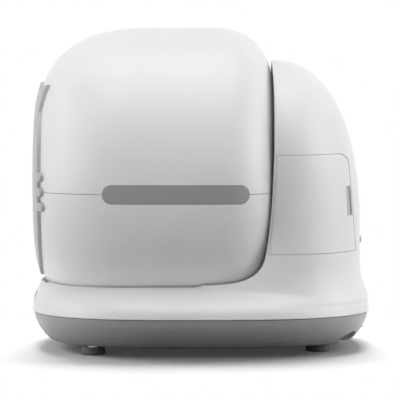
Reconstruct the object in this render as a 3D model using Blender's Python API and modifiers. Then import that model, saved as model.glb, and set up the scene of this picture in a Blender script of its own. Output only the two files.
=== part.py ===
"""A self cleaning litter box: a turning drum in a base with a rear tower that holds a waste drawer.

Metres, +Z up. The entrance faces -Y, the waste drawer slides out to +X, and the floor is at z = 0.
"""

import math

import bmesh
import bpy
from mathutils import Matrix

COLLECTION = "self_cleaning_litter_box"

# Names that end in _Y_SHARE give a place along Y as a share of half the base's length. Those that end in
# _X_SHARE give one along X as a share of half its width. Those that end in _Z_SHARE give a height above or
# below the drum's axis, and the other drum and tower shares a size, as a share of the drum's radius.
# The heights of the tower's foot, the lip's start and the front panel are shares of the crown's height.

# Running and seating clearances, and how far a cutter runs past what it cuts
GAP = 0.0003
RUNNING_GAP = 0.00006
OVERRUN = 0.02

# Base: grey pan below, white pillow above, superellipse in plan and widest a little ahead of the middle
BASE_LENGTH = 0.584
BASE_WIDTH = 0.538
BASE_WIDE_Y_SHARE = -0.10274
BASE_FRONT_EXPONENT = 2.7
BASE_REAR_EXPONENT = 2.8
PAN_BOTTOM_Z = 0.011
PAN_TOP_Z = 0.060
CROWN_HEIGHT_SHARE = 0.234709
SHELL_WALL = 0.003
PAN_WALL = 0.003
# (height share, length and width share) up the pan's bulging side
PAN_SHARES = ((0, 0.898), (0.2, 0.934), (0.48, 0.966), (0.78, 0.986), (1, 0.9925))
# (height share, length share, width share) up the pillow's crown
PILLOW_SHARES = (
    (0, 1, 1),
    (0.22, 0.994, 0.990),
    (0.49, 0.986, 0.955),
    (0.70, 0.971, 0.895),
    (0.88, 0.954, 0.805),
    (1, 0.938, 0.72),
)

# Rear tower: an arch over the drum's rear, a superellipse in side view too, flaring into the base
TOWER_FRONT_Y_SHARE = 0.10274
TOWER_MIDDLE_Y_SHARE = 0.421233
TOWER_REAR_Y_SHARE = 0.946918
TOWER_WIDTH_SHARE = 1.666667
TOWER_TOP_Z_SHARE = 0.783639
TOWER_FOOT_Z_SHARE = 0.464169
TOWER_WIDE_Z_SHARE = -0.001911
TOWER_DEEP_Z_SHARE = -0.345948
TOWER_PLAN_EXPONENT = 2.3
TOWER_ARCH_EXPONENT = 2.2
TOWER_SIDE_EXPONENT = 2.3
FLARE_HEIGHT = 0.0615
FLARE_REAR = 0.0115
FLARE_SIDE = 0.014
# Lip of the tower in side view, from the base's rim round to the crown:
# (share of the way from the sweep's start back to the lip, share of the way from its foot to the top)
LIP_START_Y_SHARE = 0.119863
LIP_START_Z_SHARE = 0.781759
LIP_Y_SHARE = 0.436644
LIP_SHARES = (
    (0, 0),
    (0.19, 0.020),
    (0.42, 0.033),
    (0.585, 0.057),
    (0.745, 0.108),
    (0.81, 0.145),
    (0.86, 0.225),
    (0.93, 0.377),
    (0.984, 0.495),
    (1, 0.625),
    (1, 0.83),
    (0.95, 1.0),
)

# Drum: turned about a level axis that runs front to back
DRUM_RADIUS = 0.2616
DRUM_BOTTOM_Z = 0.0289
DRUM_WALL = 0.0032
DRUM_CLEARANCE = 0.003
WELL_WALL = 0.0025
DRUM_NOSE_Y_SHARE = -0.972945
DRUM_FRONT_SHOULDER_Y_SHARE = -0.244178
DRUM_FRONT_HUB_RADIUS_SHARE = 0.300076
DRUM_FRONT_EXPONENT = 2.7
DRUM_REAR_SHOULDER_Y_SHARE = 0.084247
DRUM_REAR_Y_SHARE = 0.42774
DRUM_REAR_RADIUS_SHARE = 0.573394
DRUM_REAR_EXPONENT = 2.1
DRUM_MOUTH_RADIUS_SHARE = 0.58104
SEAM_DROP = 0.015
DRUM_SIDES = 40
ARC_STEPS = 5

# Release bar: the grey strip over the seam, pressed in to free the upper shell
BAR_LENGTH_SHARE = 0.842466
BAR_HEIGHT = 0.031
BAR_MIDDLE_Y_SHARE = -0.143836
BAR_THICKNESS = 0.003
BAR_TRAVEL = 0.003
BAR_LANDING = 0.003

# Entrance ring with two ears and three whisker tabs a side
RING_RADIUS_SHARE = 0.640291
RING_THROAT_RADIUS_SHARE = 0.395642
RING_THICKNESS = 0.0052
RING_ROLL = 0.0045
RING_WALL = 0.0028
RING_SPIGOT_DEPTH = 0.016
RING_CLEARANCE = 0.001
EAR_TIP_RADIUS_SHARE = 0.718654
EAR_TIP_ANGLE = 33
EAR_BASE_ANGLES = (22, 45)
WHISKER_PITCH_SHARE = 0.096713
WHISKER_HEIGHT_SHARE = 0.057339
WHISKER_REACH_SHARE = 0.691896
WHISKERS = (-1, 0, 1)

# Drum's rear plate, hub, gear and sieve
PLATE_FLANGE_THICKNESS = 0.003
PLATE_FLANGE_REACH = 0.006
PLATE_SEAT = 0.0012
PORT_INNER_RADIUS_SHARE = 0.168196
PORT_OUTER_RADIUS_SHARE = 0.443425
PORT_HALF_ANGLE = 36
HUB_RADIUS = 0.018
HUB_FLANGE_RADIUS = 0.034
HUB_FLANGE_THICKNESS = 0.0035
HUB_SIDES = 24
GEAR_TEETH = 62
PINION_TEETH = 11
GEAR_THICKNESS = 0.0065
GEAR_RIM = 0.010
GEAR_PRESSURE_ANGLE = 20
GEAR_BACKLASH = 0.0006
GEAR_ADDENDUM_SHARE = 0.8
GEAR_DEDENDUM_SHARE = 1.05
SIEVE_RISE_SHARE = 0.58104
SIEVE_THICKNESS = 0.003
SIEVE_FRONT_Y_SHARE = -0.565068
SIEVE_REAR_Y_SHARE = 0.328767
SIEVE_SLOT_WIDTH = 0.010
SIEVE_SLOT_PITCH = 0.018
SIEVE_BORDER = 0.018

# Bulkhead between drum and tower, with the bearing, the waste window and the drive on it
GEAR_ROOM = 0.0023
BULKHEAD_THICKNESS = 0.004
WELL_REAR_RADIUS_SHARE = 0.757
WINDOW_HALF_ANGLE = 34
WINDOW_MARGIN = 0.003
BEARING_LENGTH = 0.010
BEARING_WALL = 0.004
BEARING_FLANGE_RADIUS = 0.032
BEARING_FLANGE_THICKNESS = 0.003
RETAINER_THICKNESS = 0.003
RETAINER_RADIUS = 0.024
PINION_SHAFT_RADIUS = 0.004
SHAFT_SIDES = 16
MOTOR_BRACKET_THICKNESS = 0.003
MOTOR_BRACKET_WIDTH = 0.086
MOTOR_BRACKET_HEIGHT = 0.058
GEARBOX_WIDTH = 0.062
GEARBOX_HEIGHT = 0.046
GEARBOX_LENGTH = 0.024
MOTOR_RADIUS = 0.018
MOTOR_LENGTH = 0.045
CHUTE_DEPTH = 0.022
CHUTE_WALL = 0.0025
CHUTE_FALL = 0.012

# Waste drawer
PANEL_BOTTOM_Z_SHARE = -0.452982
PANEL_TOP_Z_SHARE = 0.18922
PANEL_LIP = 0.0035
PANEL_REAR_SPACE = 0.0135
PANEL_LEAN = 0.014
PANEL_CORNER = 0.008
PANEL_INNER_X_SHARE = 0.43578
PANEL_RIB_WIDTH = 0.010
PANEL_RIB_MARGIN = 0.030
SHELF_THICKNESS = 0.0035
RAIL_HEIGHT = 0.003
RAIL_WIDTH = 0.006
BIN_FRONT_SPACE = 0.012
BIN_REAR_SPACE = 0.0365
BIN_HALF_LENGTH_SHARE = 0.779817
BIN_BOTTOM_Z_SHARE = -0.426223
BIN_TOP_Z_SHARE = 0.082187
BIN_WALL = 0.002
BIN_CORNER_SHARE = 0.75
BIN_FRONT_CORNER = 0.010
BIN_TAPER = 0.004
FRAME_HEIGHT = 0.006
FRAME_OVERHANG = 0.0035
GRIP_LENGTH = 0.021
GRIP_BOTTOM_Z_SHARE = -0.227446
GRIP_TOP_Z_SHARE = -0.017202
GRIP_EDGE = 0.0035
GRIP_DEPTH = 0.008
GRIP_WALL = 0.0012
REAR_BUTTON_Z_SHARE = -0.40711
REAR_BUTTON_RADIUS = 0.0055
REAR_BUTTON_PROUD = 0.0028
BUTTON_TRAVEL = 0.0012
BUTTON_FLANGE = 0.002
BUTTON_SIDES = 18

# Control panel low on the base's front
PANEL_CENTRE_Z_SHARE = 0.456026
BEZEL_LENGTH = 0.130
BEZEL_HEIGHT = 0.020
DISPLAY_LENGTH = 0.050
DISPLAY_HEIGHT = 0.012
BUTTON_RADIUS = 0.0058
BUTTON_SPACING = 0.092
BOARD_LENGTH = 0.100
BOARD_HEIGHT = 0.024
BOARD_THICKNESS = 0.0016
BOARD_POST_RADIUS = 0.003
BOARD_POST_X = 0.0316

# Support rollers under the drum's front half
ROLLER_ANGLE = 40
ROLLER_RADIUS = 0.015
ROLLER_WIDTH = 0.016
ROLLER_Y_SHARE = -0.308219
AXLE_RADIUS = 0.003
BRACKET_CHEEK = 0.003
BRACKET_SIDE_GAP = 0.0005
BRACKET_HALF_WIDTH = 0.011
BRACKET_HEAD = 0.006
BRACKET_FOOT_THICKNESS = 0.0035
SLOT_MARGIN = 0.004

# Feet, load cells and the power inlet
FOOT_RADIUS = 0.021
FOOT_PAD_HEIGHT = 0.0107
FOOT_CHAMFER = 0.002
FOOT_SPIGOT_RADIUS = 0.006
FOOT_FRONT_X_SHARE = 0.650558
FOOT_FRONT_Y_SHARE = -0.626712
FOOT_REAR_X_SHARE = 0.438662
FOOT_REAR_Y_SHARE = 0.684932
CELL_LENGTH = 0.045
CELL_WIDTH = 0.014
CELL_HEIGHT = 0.008
INLET_WIDTH = 0.014
INLET_HEIGHT = 0.012
INLET_DEPTH = 0.014
INLET_BORE_RADIUS = 0.0032
INLET_BORE_DEPTH = 0.009
INLET_Z = 0.036
HANDHOLD_X_SHARE = 0.501859
HANDHOLD_WIDTH = 0.090
HANDHOLD_TOP_Z = 0.040
HANDHOLD_DEPTH = 0.040

# Places worked out from the sizes above
HALF_LENGTH = BASE_LENGTH / 2
HALF_WIDTH = BASE_WIDTH / 2
DRUM_AXIS_Z = DRUM_BOTTOM_Z + DRUM_RADIUS
CROWN_HEIGHT = DRUM_RADIUS * CROWN_HEIGHT_SHARE
RIM_Z = PAN_TOP_Z + CROWN_HEIGHT
BASE_WIDE_Y = HALF_LENGTH * BASE_WIDE_Y_SHARE
TOWER_FRONT_Y = HALF_LENGTH * TOWER_FRONT_Y_SHARE
TOWER_MIDDLE_Y = HALF_LENGTH * TOWER_MIDDLE_Y_SHARE
TOWER_REAR_Y = HALF_LENGTH * TOWER_REAR_Y_SHARE
LIP_START_Y = HALF_LENGTH * LIP_START_Y_SHARE
LIP_Y = HALF_LENGTH * LIP_Y_SHARE
DRUM_NOSE_Y = HALF_LENGTH * DRUM_NOSE_Y_SHARE
DRUM_FRONT_SHOULDER_Y = HALF_LENGTH * DRUM_FRONT_SHOULDER_Y_SHARE
DRUM_REAR_SHOULDER_Y = HALF_LENGTH * DRUM_REAR_SHOULDER_Y_SHARE
DRUM_REAR_Y = HALF_LENGTH * DRUM_REAR_Y_SHARE
BAR_LENGTH = HALF_LENGTH * BAR_LENGTH_SHARE
BAR_MIDDLE_Y = HALF_LENGTH * BAR_MIDDLE_Y_SHARE
SIEVE_FRONT_Y = HALF_LENGTH * SIEVE_FRONT_Y_SHARE
SIEVE_REAR_Y = HALF_LENGTH * SIEVE_REAR_Y_SHARE
ROLLER_Y = HALF_LENGTH * ROLLER_Y_SHARE
FOOT_FRONT_Y = HALF_LENGTH * FOOT_FRONT_Y_SHARE
FOOT_REAR_Y = HALF_LENGTH * FOOT_REAR_Y_SHARE
FOOT_FRONT_X = HALF_WIDTH * FOOT_FRONT_X_SHARE
FOOT_REAR_X = HALF_WIDTH * FOOT_REAR_X_SHARE
HANDHOLD_X = HALF_WIDTH * HANDHOLD_X_SHARE
DRUM_FRONT_HUB_RADIUS = DRUM_RADIUS * DRUM_FRONT_HUB_RADIUS_SHARE
DRUM_REAR_RADIUS = DRUM_RADIUS * DRUM_REAR_RADIUS_SHARE
DRUM_MOUTH_RADIUS = DRUM_RADIUS * DRUM_MOUTH_RADIUS_SHARE
RING_RADIUS = DRUM_RADIUS * RING_RADIUS_SHARE
RING_THROAT_RADIUS = DRUM_RADIUS * RING_THROAT_RADIUS_SHARE
EAR_TIP_RADIUS = DRUM_RADIUS * EAR_TIP_RADIUS_SHARE
WHISKER_PITCH = DRUM_RADIUS * WHISKER_PITCH_SHARE
WHISKER_HEIGHT = DRUM_RADIUS * WHISKER_HEIGHT_SHARE
WHISKER_REACH = DRUM_RADIUS * WHISKER_REACH_SHARE
PORT_INNER_RADIUS = DRUM_RADIUS * PORT_INNER_RADIUS_SHARE
PORT_OUTER_RADIUS = DRUM_RADIUS * PORT_OUTER_RADIUS_SHARE
SIEVE_RISE = DRUM_RADIUS * SIEVE_RISE_SHARE
WELL_REAR_RADIUS = DRUM_RADIUS * WELL_REAR_RADIUS_SHARE
TOWER_WIDTH = DRUM_RADIUS * TOWER_WIDTH_SHARE
TOWER_TOP_Z = DRUM_AXIS_Z + DRUM_RADIUS * TOWER_TOP_Z_SHARE
TOWER_WIDE_Z = DRUM_AXIS_Z + DRUM_RADIUS * TOWER_WIDE_Z_SHARE
TOWER_DEEP_Z = DRUM_AXIS_Z + DRUM_RADIUS * TOWER_DEEP_Z_SHARE
PANEL_BOTTOM_Z = DRUM_AXIS_Z + DRUM_RADIUS * PANEL_BOTTOM_Z_SHARE
PANEL_TOP_Z = DRUM_AXIS_Z + DRUM_RADIUS * PANEL_TOP_Z_SHARE
BIN_BOTTOM_Z = DRUM_AXIS_Z + DRUM_RADIUS * BIN_BOTTOM_Z_SHARE
BIN_TOP_Z = DRUM_AXIS_Z + DRUM_RADIUS * BIN_TOP_Z_SHARE
GRIP_BOTTOM_Z = DRUM_AXIS_Z + DRUM_RADIUS * GRIP_BOTTOM_Z_SHARE
GRIP_TOP_Z = DRUM_AXIS_Z + DRUM_RADIUS * GRIP_TOP_Z_SHARE
REAR_BUTTON_Z = DRUM_AXIS_Z + DRUM_RADIUS * REAR_BUTTON_Z_SHARE
TOWER_FOOT_Z = PAN_TOP_Z + CROWN_HEIGHT * TOWER_FOOT_Z_SHARE
LIP_START_Z = PAN_TOP_Z + CROWN_HEIGHT * LIP_START_Z_SHARE
PANEL_CENTRE_Z = PAN_TOP_Z + CROWN_HEIGHT * PANEL_CENTRE_Z_SHARE
FLARE_TOP_Z = TOWER_FOOT_Z + FLARE_HEIGHT
BIN_HALF_LENGTH = TOWER_WIDTH / 2 * BIN_HALF_LENGTH_SHARE
PANEL_INNER_X = TOWER_WIDTH / 2 * PANEL_INNER_X_SHARE
BULKHEAD_FRONT_Y = DRUM_REAR_Y + GAP + GEAR_THICKNESS + GEAR_ROOM
BIN_FRONT_Y = BULKHEAD_FRONT_Y + BULKHEAD_THICKNESS + BIN_FRONT_SPACE
BIN_REAR_Y = TOWER_REAR_Y - BIN_REAR_SPACE
BIN_CORNER = (BIN_REAR_Y - BIN_FRONT_Y - BIN_FRONT_CORNER) * BIN_CORNER_SHARE
PANEL_REAR_BOTTOM_Y = TOWER_REAR_Y - PANEL_REAR_SPACE
PANEL_REAR_TOP_Y = PANEL_REAR_BOTTOM_Y - PANEL_LEAN
GRIP_FRONT_Y = PANEL_REAR_BOTTOM_Y - GRIP_LENGTH
PAN_RIM_Z = PAN_TOP_Z - GAP
PAN_FLOOR_Z = PAN_BOTTOM_Z + PAN_WALL
SEAM_Z = DRUM_AXIS_Z - SEAM_DROP
BULKHEAD_REAR_Y = BULKHEAD_FRONT_Y + BULKHEAD_THICKNESS
GEAR_FRONT_Y = DRUM_REAR_Y + GAP
GEAR_REAR_Y = GEAR_FRONT_Y + GEAR_THICKNESS
# The pinion's outer teeth just clear the well's rear, which sets the module
GEAR_MODULE = (WELL_REAR_RADIUS - 2 * GAP) / (GEAR_TEETH / 2 + PINION_TEETH + GEAR_ADDENDUM_SHARE)
GEAR_PITCH_RADIUS = GEAR_MODULE * GEAR_TEETH / 2
PINION_PITCH_RADIUS = GEAR_MODULE * PINION_TEETH / 2
PINION_Z = DRUM_AXIS_Z - GEAR_PITCH_RADIUS - PINION_PITCH_RADIUS
SHELF_TOP_Z = BIN_BOTTOM_Z - GAP - RAIL_HEIGHT
ROLLER_ORBIT = DRUM_RADIUS + ROLLER_RADIUS + GAP
ROLLER_X = ROLLER_ORBIT * math.sin(math.radians(ROLLER_ANGLE))
ROLLER_Z = DRUM_AXIS_Z - ROLLER_ORBIT * math.cos(math.radians(ROLLER_ANGLE))

# Colours: (red, green, blue, roughness, metallic)
WHITE = (0.86, 0.86, 0.87, 0.32, 0.0)
LIGHT_GREY = (0.52, 0.52, 0.53, 0.40, 0.0)
MID_GREY = (0.21, 0.22, 0.23, 0.42, 0.0)
PAN_GREY = (0.33, 0.33, 0.34, 0.45, 0.0)
RUBBER = (0.05, 0.055, 0.05, 0.8, 0.0)
INNER_GREY = (0.40, 0.41, 0.42, 0.5, 0.0)
BLACK = (0.02, 0.02, 0.022, 0.35, 0.0)
NYLON = (0.80, 0.79, 0.74, 0.45, 0.0)
STEEL = (0.55, 0.55, 0.56, 0.3, 1.0)
BOARD_GREEN = (0.03, 0.20, 0.09, 0.5, 0.0)
SMOKED = (0.04, 0.045, 0.05, 0.12, 0.0)


def clear_scene():
    for old in list(bpy.data.objects):
        bpy.data.objects.remove(old, do_unlink=True)


def new_collection(name):
    collection = bpy.data.collections.new(name)
    bpy.context.scene.collection.children.link(collection)
    return collection


def finish(name, colour):
    """A plain Principled finish of its own for one sub-part."""
    material = bpy.data.materials.new(name)
    material.use_nodes = True
    shader = material.node_tree.nodes["Principled BSDF"]
    shader.inputs["Base Color"].default_value = (*colour[:3], 1)
    shader.inputs["Roughness"].default_value = colour[3]
    shader.inputs["Metallic"].default_value = colour[4]
    return material


def add_object(name, mesh, colour):
    """Puts a mesh in the scene: a sub-part where it has a colour, and otherwise a hidden cutter."""
    thing = bpy.data.objects.new(name, mesh)
    if colour is None:
        bpy.data.collections["cutters"].objects.link(thing)
        thing.hide_render = True
        thing.display_type = "WIRE"
    else:
        bpy.data.collections[COLLECTION].objects.link(thing)
        mesh.materials.append(finish(name, colour))
    return thing


def smooth(thing):
    thing.data.shade_smooth()
    thing.data.set_sharp_from_angle(angle=math.radians(35))


def mesh_from(name, work):
    mesh = bpy.data.meshes.new(name)
    bmesh.ops.recalc_face_normals(work, faces=work.faces)
    work.to_mesh(mesh)
    work.free()
    return mesh


def cut(thing, cutter, operation="DIFFERENCE"):
    boolean = thing.modifiers.new(f"{operation.lower()}_{cutter.name}", "BOOLEAN")
    boolean.object = cutter
    boolean.operation = operation
    return thing


def box(name, low, high, colour=None, tilt=0):
    """A block between two corners, tilted about its own middle along Y."""
    work = bmesh.new()
    bmesh.ops.create_cube(work, size=1)
    sizes = [top - bottom for bottom, top in zip(low, high)]
    bmesh.ops.scale(work, vec=sizes, verts=work.verts)
    thing = add_object(name, mesh_from(name, work), colour)
    thing.location = [(bottom + top) / 2 for bottom, top in zip(low, high)]
    thing.rotation_euler = (0, math.radians(tilt), 0)
    return thing


def rod(name, middle_x, z, start_y, end_y, radius, sides, colour=None):
    """A cylinder along Y."""
    work = bmesh.new()
    bmesh.ops.create_cone(
        work, cap_ends=True, segments=sides, radius1=radius, radius2=radius, depth=end_y - start_y
    )
    thing = add_object(name, mesh_from(name, work), colour)
    thing.location = (middle_x, (start_y + end_y) / 2, z)
    thing.rotation_euler = (math.pi / 2, 0, 0)
    return thing


def turned(name, profile, colour=None, place=(0, 0, DRUM_AXIS_Z), sides=DRUM_SIDES, upright=False):
    """Turns (along, radius) points, which run down the outer side and back up the inner one.

    The axis runs along Y, or upright. A profile whose ends lie on the axis is left open there.
    """
    mesh = bpy.data.meshes.new(name)
    points = [(radius, 0, along) for along, radius in profile]
    closed = profile[0][1] > 0 and profile[-1][1] > 0
    edges = [(i, i + 1) for i in range(len(points) - 1)]
    if closed:
        edges.append((len(points) - 1, 0))
    mesh.from_pydata(points, edges, [])
    thing = add_object(name, mesh, colour)
    thing.location = place
    thing.rotation_euler = (0 if upright else -math.pi / 2, 0, 0)
    screw = thing.modifiers.new("turn", "SCREW")
    screw.axis = "Z"
    screw.steps = screw.render_steps = sides
    screw.use_merge_vertices = True
    screw.merge_threshold = 0.00001
    return thing


def extruded(name, outline, start, end, colour=None, axis="X"):
    """A flat outline of (across, up) points carried along X, Y or Z from start to end."""
    work = bmesh.new()
    places = {
        "X": lambda along, across, up: (along, across, up),
        "Y": lambda along, across, up: (across, along, up),
        "Z": lambda along, across, up: (across, up, along),
    }
    near = [work.verts.new(places[axis](start, across, up)) for across, up in outline]
    face = work.faces.new(near)
    made = bmesh.ops.extrude_face_region(work, geom=[face])
    far = [item for item in made["geom"] if isinstance(item, bmesh.types.BMVert)]
    shift = places[axis](end - start, 0, 0)
    bmesh.ops.translate(work, vec=shift, verts=far)
    return add_object(name, mesh_from(name, work), colour)


def loft(name, rings, colour=None):
    """Joins rings of as many points each and closes both ends, in triangles, so that each face is flat."""
    work = bmesh.new()
    rows = [[work.verts.new(point) for point in ring] for ring in rings]
    for lower, upper in zip(rows, rows[1:]):
        for i in range(len(lower)):
            j = (i + 1) % len(lower)
            work.faces.new((lower[i], lower[j], upper[j], upper[i]))
    work.faces.new(rows[0][::-1])
    work.faces.new(rows[-1])
    bmesh.ops.triangulate(work, faces=[face for face in work.faces if len(face.verts) == 4])
    return add_object(name, mesh_from(name, work), colour)


def power(value, exponent):
    return math.copysign(abs(value) ** exponent, value)


def arc(radius, start, end, steps, centre=(0, 0)):
    """Points on an arc, with its angles in degrees from +X."""
    angles = [math.radians(start + (end - start) * i / steps) for i in range(steps + 1)]
    return [(centre[0] + radius * math.cos(a), centre[1] + radius * math.sin(a)) for a in angles]


def pill(length, height, centre, steps=8):
    """A bar with half-round ends."""
    reach = (length - height) / 2
    right = arc(height / 2, -90, 90, steps, (centre[0] + reach, centre[1]))
    left = arc(height / 2, 90, 270, steps, (centre[0] - reach, centre[1]))
    return right + left


def base_outline(half_width, half_length, z, steps=40):
    """The base in plan: a superellipse in front of its widest line and another behind it."""
    points = []
    for i in range(steps):
        angle = 2 * math.pi * i / steps
        rear = math.sin(angle) > 0
        share = 2 / (BASE_REAR_EXPONENT if rear else BASE_FRONT_EXPONENT)
        reach = half_length - BASE_WIDE_Y if rear else half_length + BASE_WIDE_Y
        x = half_width * power(math.cos(angle), share)
        points.append((x, BASE_WIDE_Y + reach * power(math.sin(angle), share), z))
    return points


def pan_rings(inset, floor_z, top_z):
    rings = []
    for height, share in PAN_SHARES:
        z = floor_z + (top_z - floor_z) * height
        rings.append(base_outline(HALF_WIDTH * share - inset, HALF_LENGTH * share - inset, z))
    return rings


def pillow_rings(inset):
    """The pillow's crown, drawn in by a wall's thickness where it is an inner core."""
    rings = []
    for height, length, width in PILLOW_SHARES:
        z = PAN_TOP_Z + (RIM_Z - inset - PAN_TOP_Z) * height
        rings.append(base_outline(HALF_WIDTH * width - inset, HALF_LENGTH * length - inset, z))
    if inset:
        foot = [(x, y, PAN_TOP_Z - OVERRUN) for x, y, _ in rings[0]]
        rings.insert(0, foot)
    return rings


def tower_ring(z, inset, steps=16):
    """The tower in plan at a height: straight sides forward, a superellipse behind."""
    top = TOWER_TOP_Z - inset
    arch = min(max(0, z - TOWER_WIDE_Z) / (top - TOWER_WIDE_Z), 1)
    slope = min(max(0, z - TOWER_DEEP_Z) / (top - TOWER_DEEP_Z), 1)
    flare = (max(0, FLARE_TOP_Z - z) / (FLARE_TOP_Z - TOWER_FOOT_Z)) ** 2
    half_width = (TOWER_WIDTH / 2 - inset) * (1 - arch**TOWER_ARCH_EXPONENT) ** (1 / TOWER_ARCH_EXPONENT)
    depth = TOWER_REAR_Y - TOWER_MIDDLE_Y - inset
    depth = depth * (1 - slope**TOWER_SIDE_EXPONENT) ** (1 / TOWER_SIDE_EXPONENT)
    half_width += FLARE_SIDE * flare
    depth += FLARE_REAR * flare
    share = 2 / TOWER_PLAN_EXPONENT
    ring = []
    for i in range(steps + 1):
        angle = math.pi * i / steps
        x = half_width * power(math.cos(angle), share)
        ring.append((x, TOWER_MIDDLE_Y + depth * power(math.sin(angle), share), z))
    ring.append((-half_width, TOWER_FRONT_Y, z))
    ring.append((half_width, TOWER_FRONT_Y, z))
    return ring


def tower(name, inset):
    """The tower as one closed solid, drawn in at the sides, rear and top by the inset."""
    foot = TOWER_FOOT_Z - (2 * SHELL_WALL - inset if inset else 0)
    levels = [foot + (FLARE_TOP_Z - foot) * i / 3 for i in range(4)]
    levels += [TOWER_DEEP_Z, (TOWER_DEEP_Z + TOWER_WIDE_Z) / 2, TOWER_WIDE_Z]
    rise = TOWER_TOP_Z - inset - TOWER_WIDE_Z
    for angle in (20, 40, 58, 73, 84):
        levels.append(TOWER_WIDE_Z + rise * math.sin(math.radians(angle)) ** (2 / TOWER_ARCH_EXPONENT))
    return loft(name, [tower_ring(z, inset) for z in levels])


def drum_front(offset, from_radius, steps=ARC_STEPS):
    """(along, radius) points of the drum's front, from a radius out to the shoulder, offset outwards."""
    depth = DRUM_FRONT_SHOULDER_Y - DRUM_NOSE_Y + offset
    height = DRUM_RADIUS - DRUM_FRONT_HUB_RADIUS + offset
    first = max(0, from_radius - DRUM_FRONT_HUB_RADIUS) / height
    start = math.asin(first ** (DRUM_FRONT_EXPONENT / 2))
    points = []
    for i in range(steps + 1):
        angle = start + (math.pi / 2 - start) * i / steps
        along = DRUM_FRONT_SHOULDER_Y - depth * math.cos(angle) ** (2 / DRUM_FRONT_EXPONENT)
        points.append((along, DRUM_FRONT_HUB_RADIUS + height * math.sin(angle) ** (2 / DRUM_FRONT_EXPONENT)))
    return points


def drum_rear(offset, to_radius=DRUM_REAR_RADIUS, steps=ARC_STEPS):
    """(along, radius) points from the rear shoulder round to a radius on the rear, offset outwards."""
    depth = DRUM_REAR_Y - DRUM_REAR_SHOULDER_Y + offset
    height = DRUM_RADIUS - DRUM_REAR_RADIUS + offset
    end = math.acos(((to_radius - DRUM_REAR_RADIUS) / height) ** (DRUM_REAR_EXPONENT / 2))
    points = []
    for i in range(steps + 1):
        angle = end * i / steps
        along = DRUM_REAR_SHOULDER_Y + depth * math.sin(angle) ** (2 / DRUM_REAR_EXPONENT)
        points.append((along, DRUM_REAR_RADIUS + height * abs(math.cos(angle)) ** (2 / DRUM_REAR_EXPONENT)))
    return points


def drum_profile(offset, mouth_radius):
    return drum_front(offset, mouth_radius) + drum_rear(offset)


def drum_solid(name, offset, colour=None):
    """The drum's outer form as a closed solid, for cavities and cutters."""
    profile = drum_profile(offset, DRUM_MOUTH_RADIUS)
    profile = [(profile[0][0], 0)] + profile + [(profile[-1][0], 0)]
    return turned(name, profile[::-1], colour)


def running_bore(radius, sides):
    """A bore's corner radius that leaves the running gap to a shaft, counting the facets."""
    return (radius + RUNNING_GAP) / math.cos(math.pi / sides)


def drum_shells():
    """Two blow-thin moulded halves that meet on a level seam, with pockets for the release bars."""
    outer = drum_profile(0, DRUM_MOUTH_RADIUS)
    inner = drum_profile(-DRUM_WALL, DRUM_MOUTH_RADIUS)
    ends = {"drum_upper_shell": 1, "drum_lower_shell": -1}
    pockets = [bar_prism(f"bar_pocket_{side}", side, GAP, BAR_THICKNESS + BAR_TRAVEL + GAP) for side in (1, -1)]
    for name, side in ends.items():
        shell = turned(name, outer[::-1] + inner, WHITE)
        reach = DRUM_RADIUS + OVERRUN
        edge = SEAM_Z + side * GAP / 2
        low = (-reach, DRUM_NOSE_Y - OVERRUN, min(edge, edge - side * reach - side * SEAM_DROP))
        high = (reach, DRUM_REAR_Y + OVERRUN, max(edge, edge - side * reach - side * SEAM_DROP))
        for hand in (1, -1):
            cut(shell, bar_landing(f"{name}_landing_{hand}", hand), "UNION")
        cut(shell, box(f"{name}_other_half", low, high))
        for pocket in pockets:
            cut(shell, pocket)
        smooth(shell)


def bar_outline(margin):
    return pill(BAR_LENGTH + 2 * margin, BAR_HEIGHT + 2 * margin, (BAR_MIDDLE_Y, SEAM_Z))


def bar_prism(name, side, margin, depth):
    """The pill shape carried in from the side as far as a depth below the drum's skin."""
    prism = extruded(name, bar_outline(margin), 0, side * (DRUM_RADIUS + OVERRUN))
    return cut(prism, drum_solid(f"{name}_floor", -depth))


def bar_landing(name, side):
    """The thicker wall behind a release bar."""
    depth = BAR_THICKNESS + BAR_TRAVEL + GAP + BAR_LANDING
    prism = extruded(name, bar_outline(BAR_LANDING), 0, side * (DRUM_RADIUS + OVERRUN))
    cut(prism, drum_solid(f"{name}_inside", -depth))
    return cut(prism, drum_solid(f"{name}_outside", -DRUM_WALL / 2), "INTERSECT")


def release_bars():
    for name, side in (("release_bar_left", -1), ("release_bar_right", 1)):
        bar = extruded(name, bar_outline(0), 0, side * (DRUM_RADIUS + OVERRUN), MID_GREY)
        cut(bar, drum_solid(f"{name}_back", -BAR_THICKNESS))
        cut(bar, drum_solid(f"{name}_face", 0), "INTERSECT")
        smooth(bar)


def ring_section():
    """The entrance ring's section, from its outer edge over the crown to the throat and back."""
    face = drum_front(RING_THICKNESS, RING_THROAT_RADIUS + RING_ROLL, 9)
    face = [point for point in face if point[1] < EAR_TIP_RADIUS]
    outer = drum_front(RING_THICKNESS, EAR_TIP_RADIUS + GAP)[0]
    back = [point for point in drum_front(GAP, DRUM_MOUTH_RADIUS, 9) if point[1] < EAR_TIP_RADIUS]
    crown_y, crown_radius = face[0]
    spigot_radius = DRUM_MOUTH_RADIUS - GAP
    spigot_y = back[0][0] + RING_SPIGOT_DEPTH
    roll = [
        (crown_y + RING_ROLL * (1 - math.sin(angle)), crown_radius - RING_ROLL * math.cos(angle))
        for angle in (math.pi / 3, math.pi / 6, 0)
    ]
    throat = [(spigot_y, RING_THROAT_RADIUS), (spigot_y, RING_THROAT_RADIUS + RING_WALL)]
    inner_face = (crown_y + RING_WALL + RING_ROLL, RING_THROAT_RADIUS + RING_WALL)
    hollow = (drum_front(RING_THICKNESS - RING_WALL, spigot_radius)[0][0], spigot_radius - RING_WALL)
    spigot = [(spigot_y, spigot_radius - RING_WALL), (spigot_y, spigot_radius)]
    last = drum_front(GAP, EAR_TIP_RADIUS + GAP)[0]
    return [outer] + face[::-1] + roll + throat + [inner_face, hollow] + spigot + back + [last]


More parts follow.
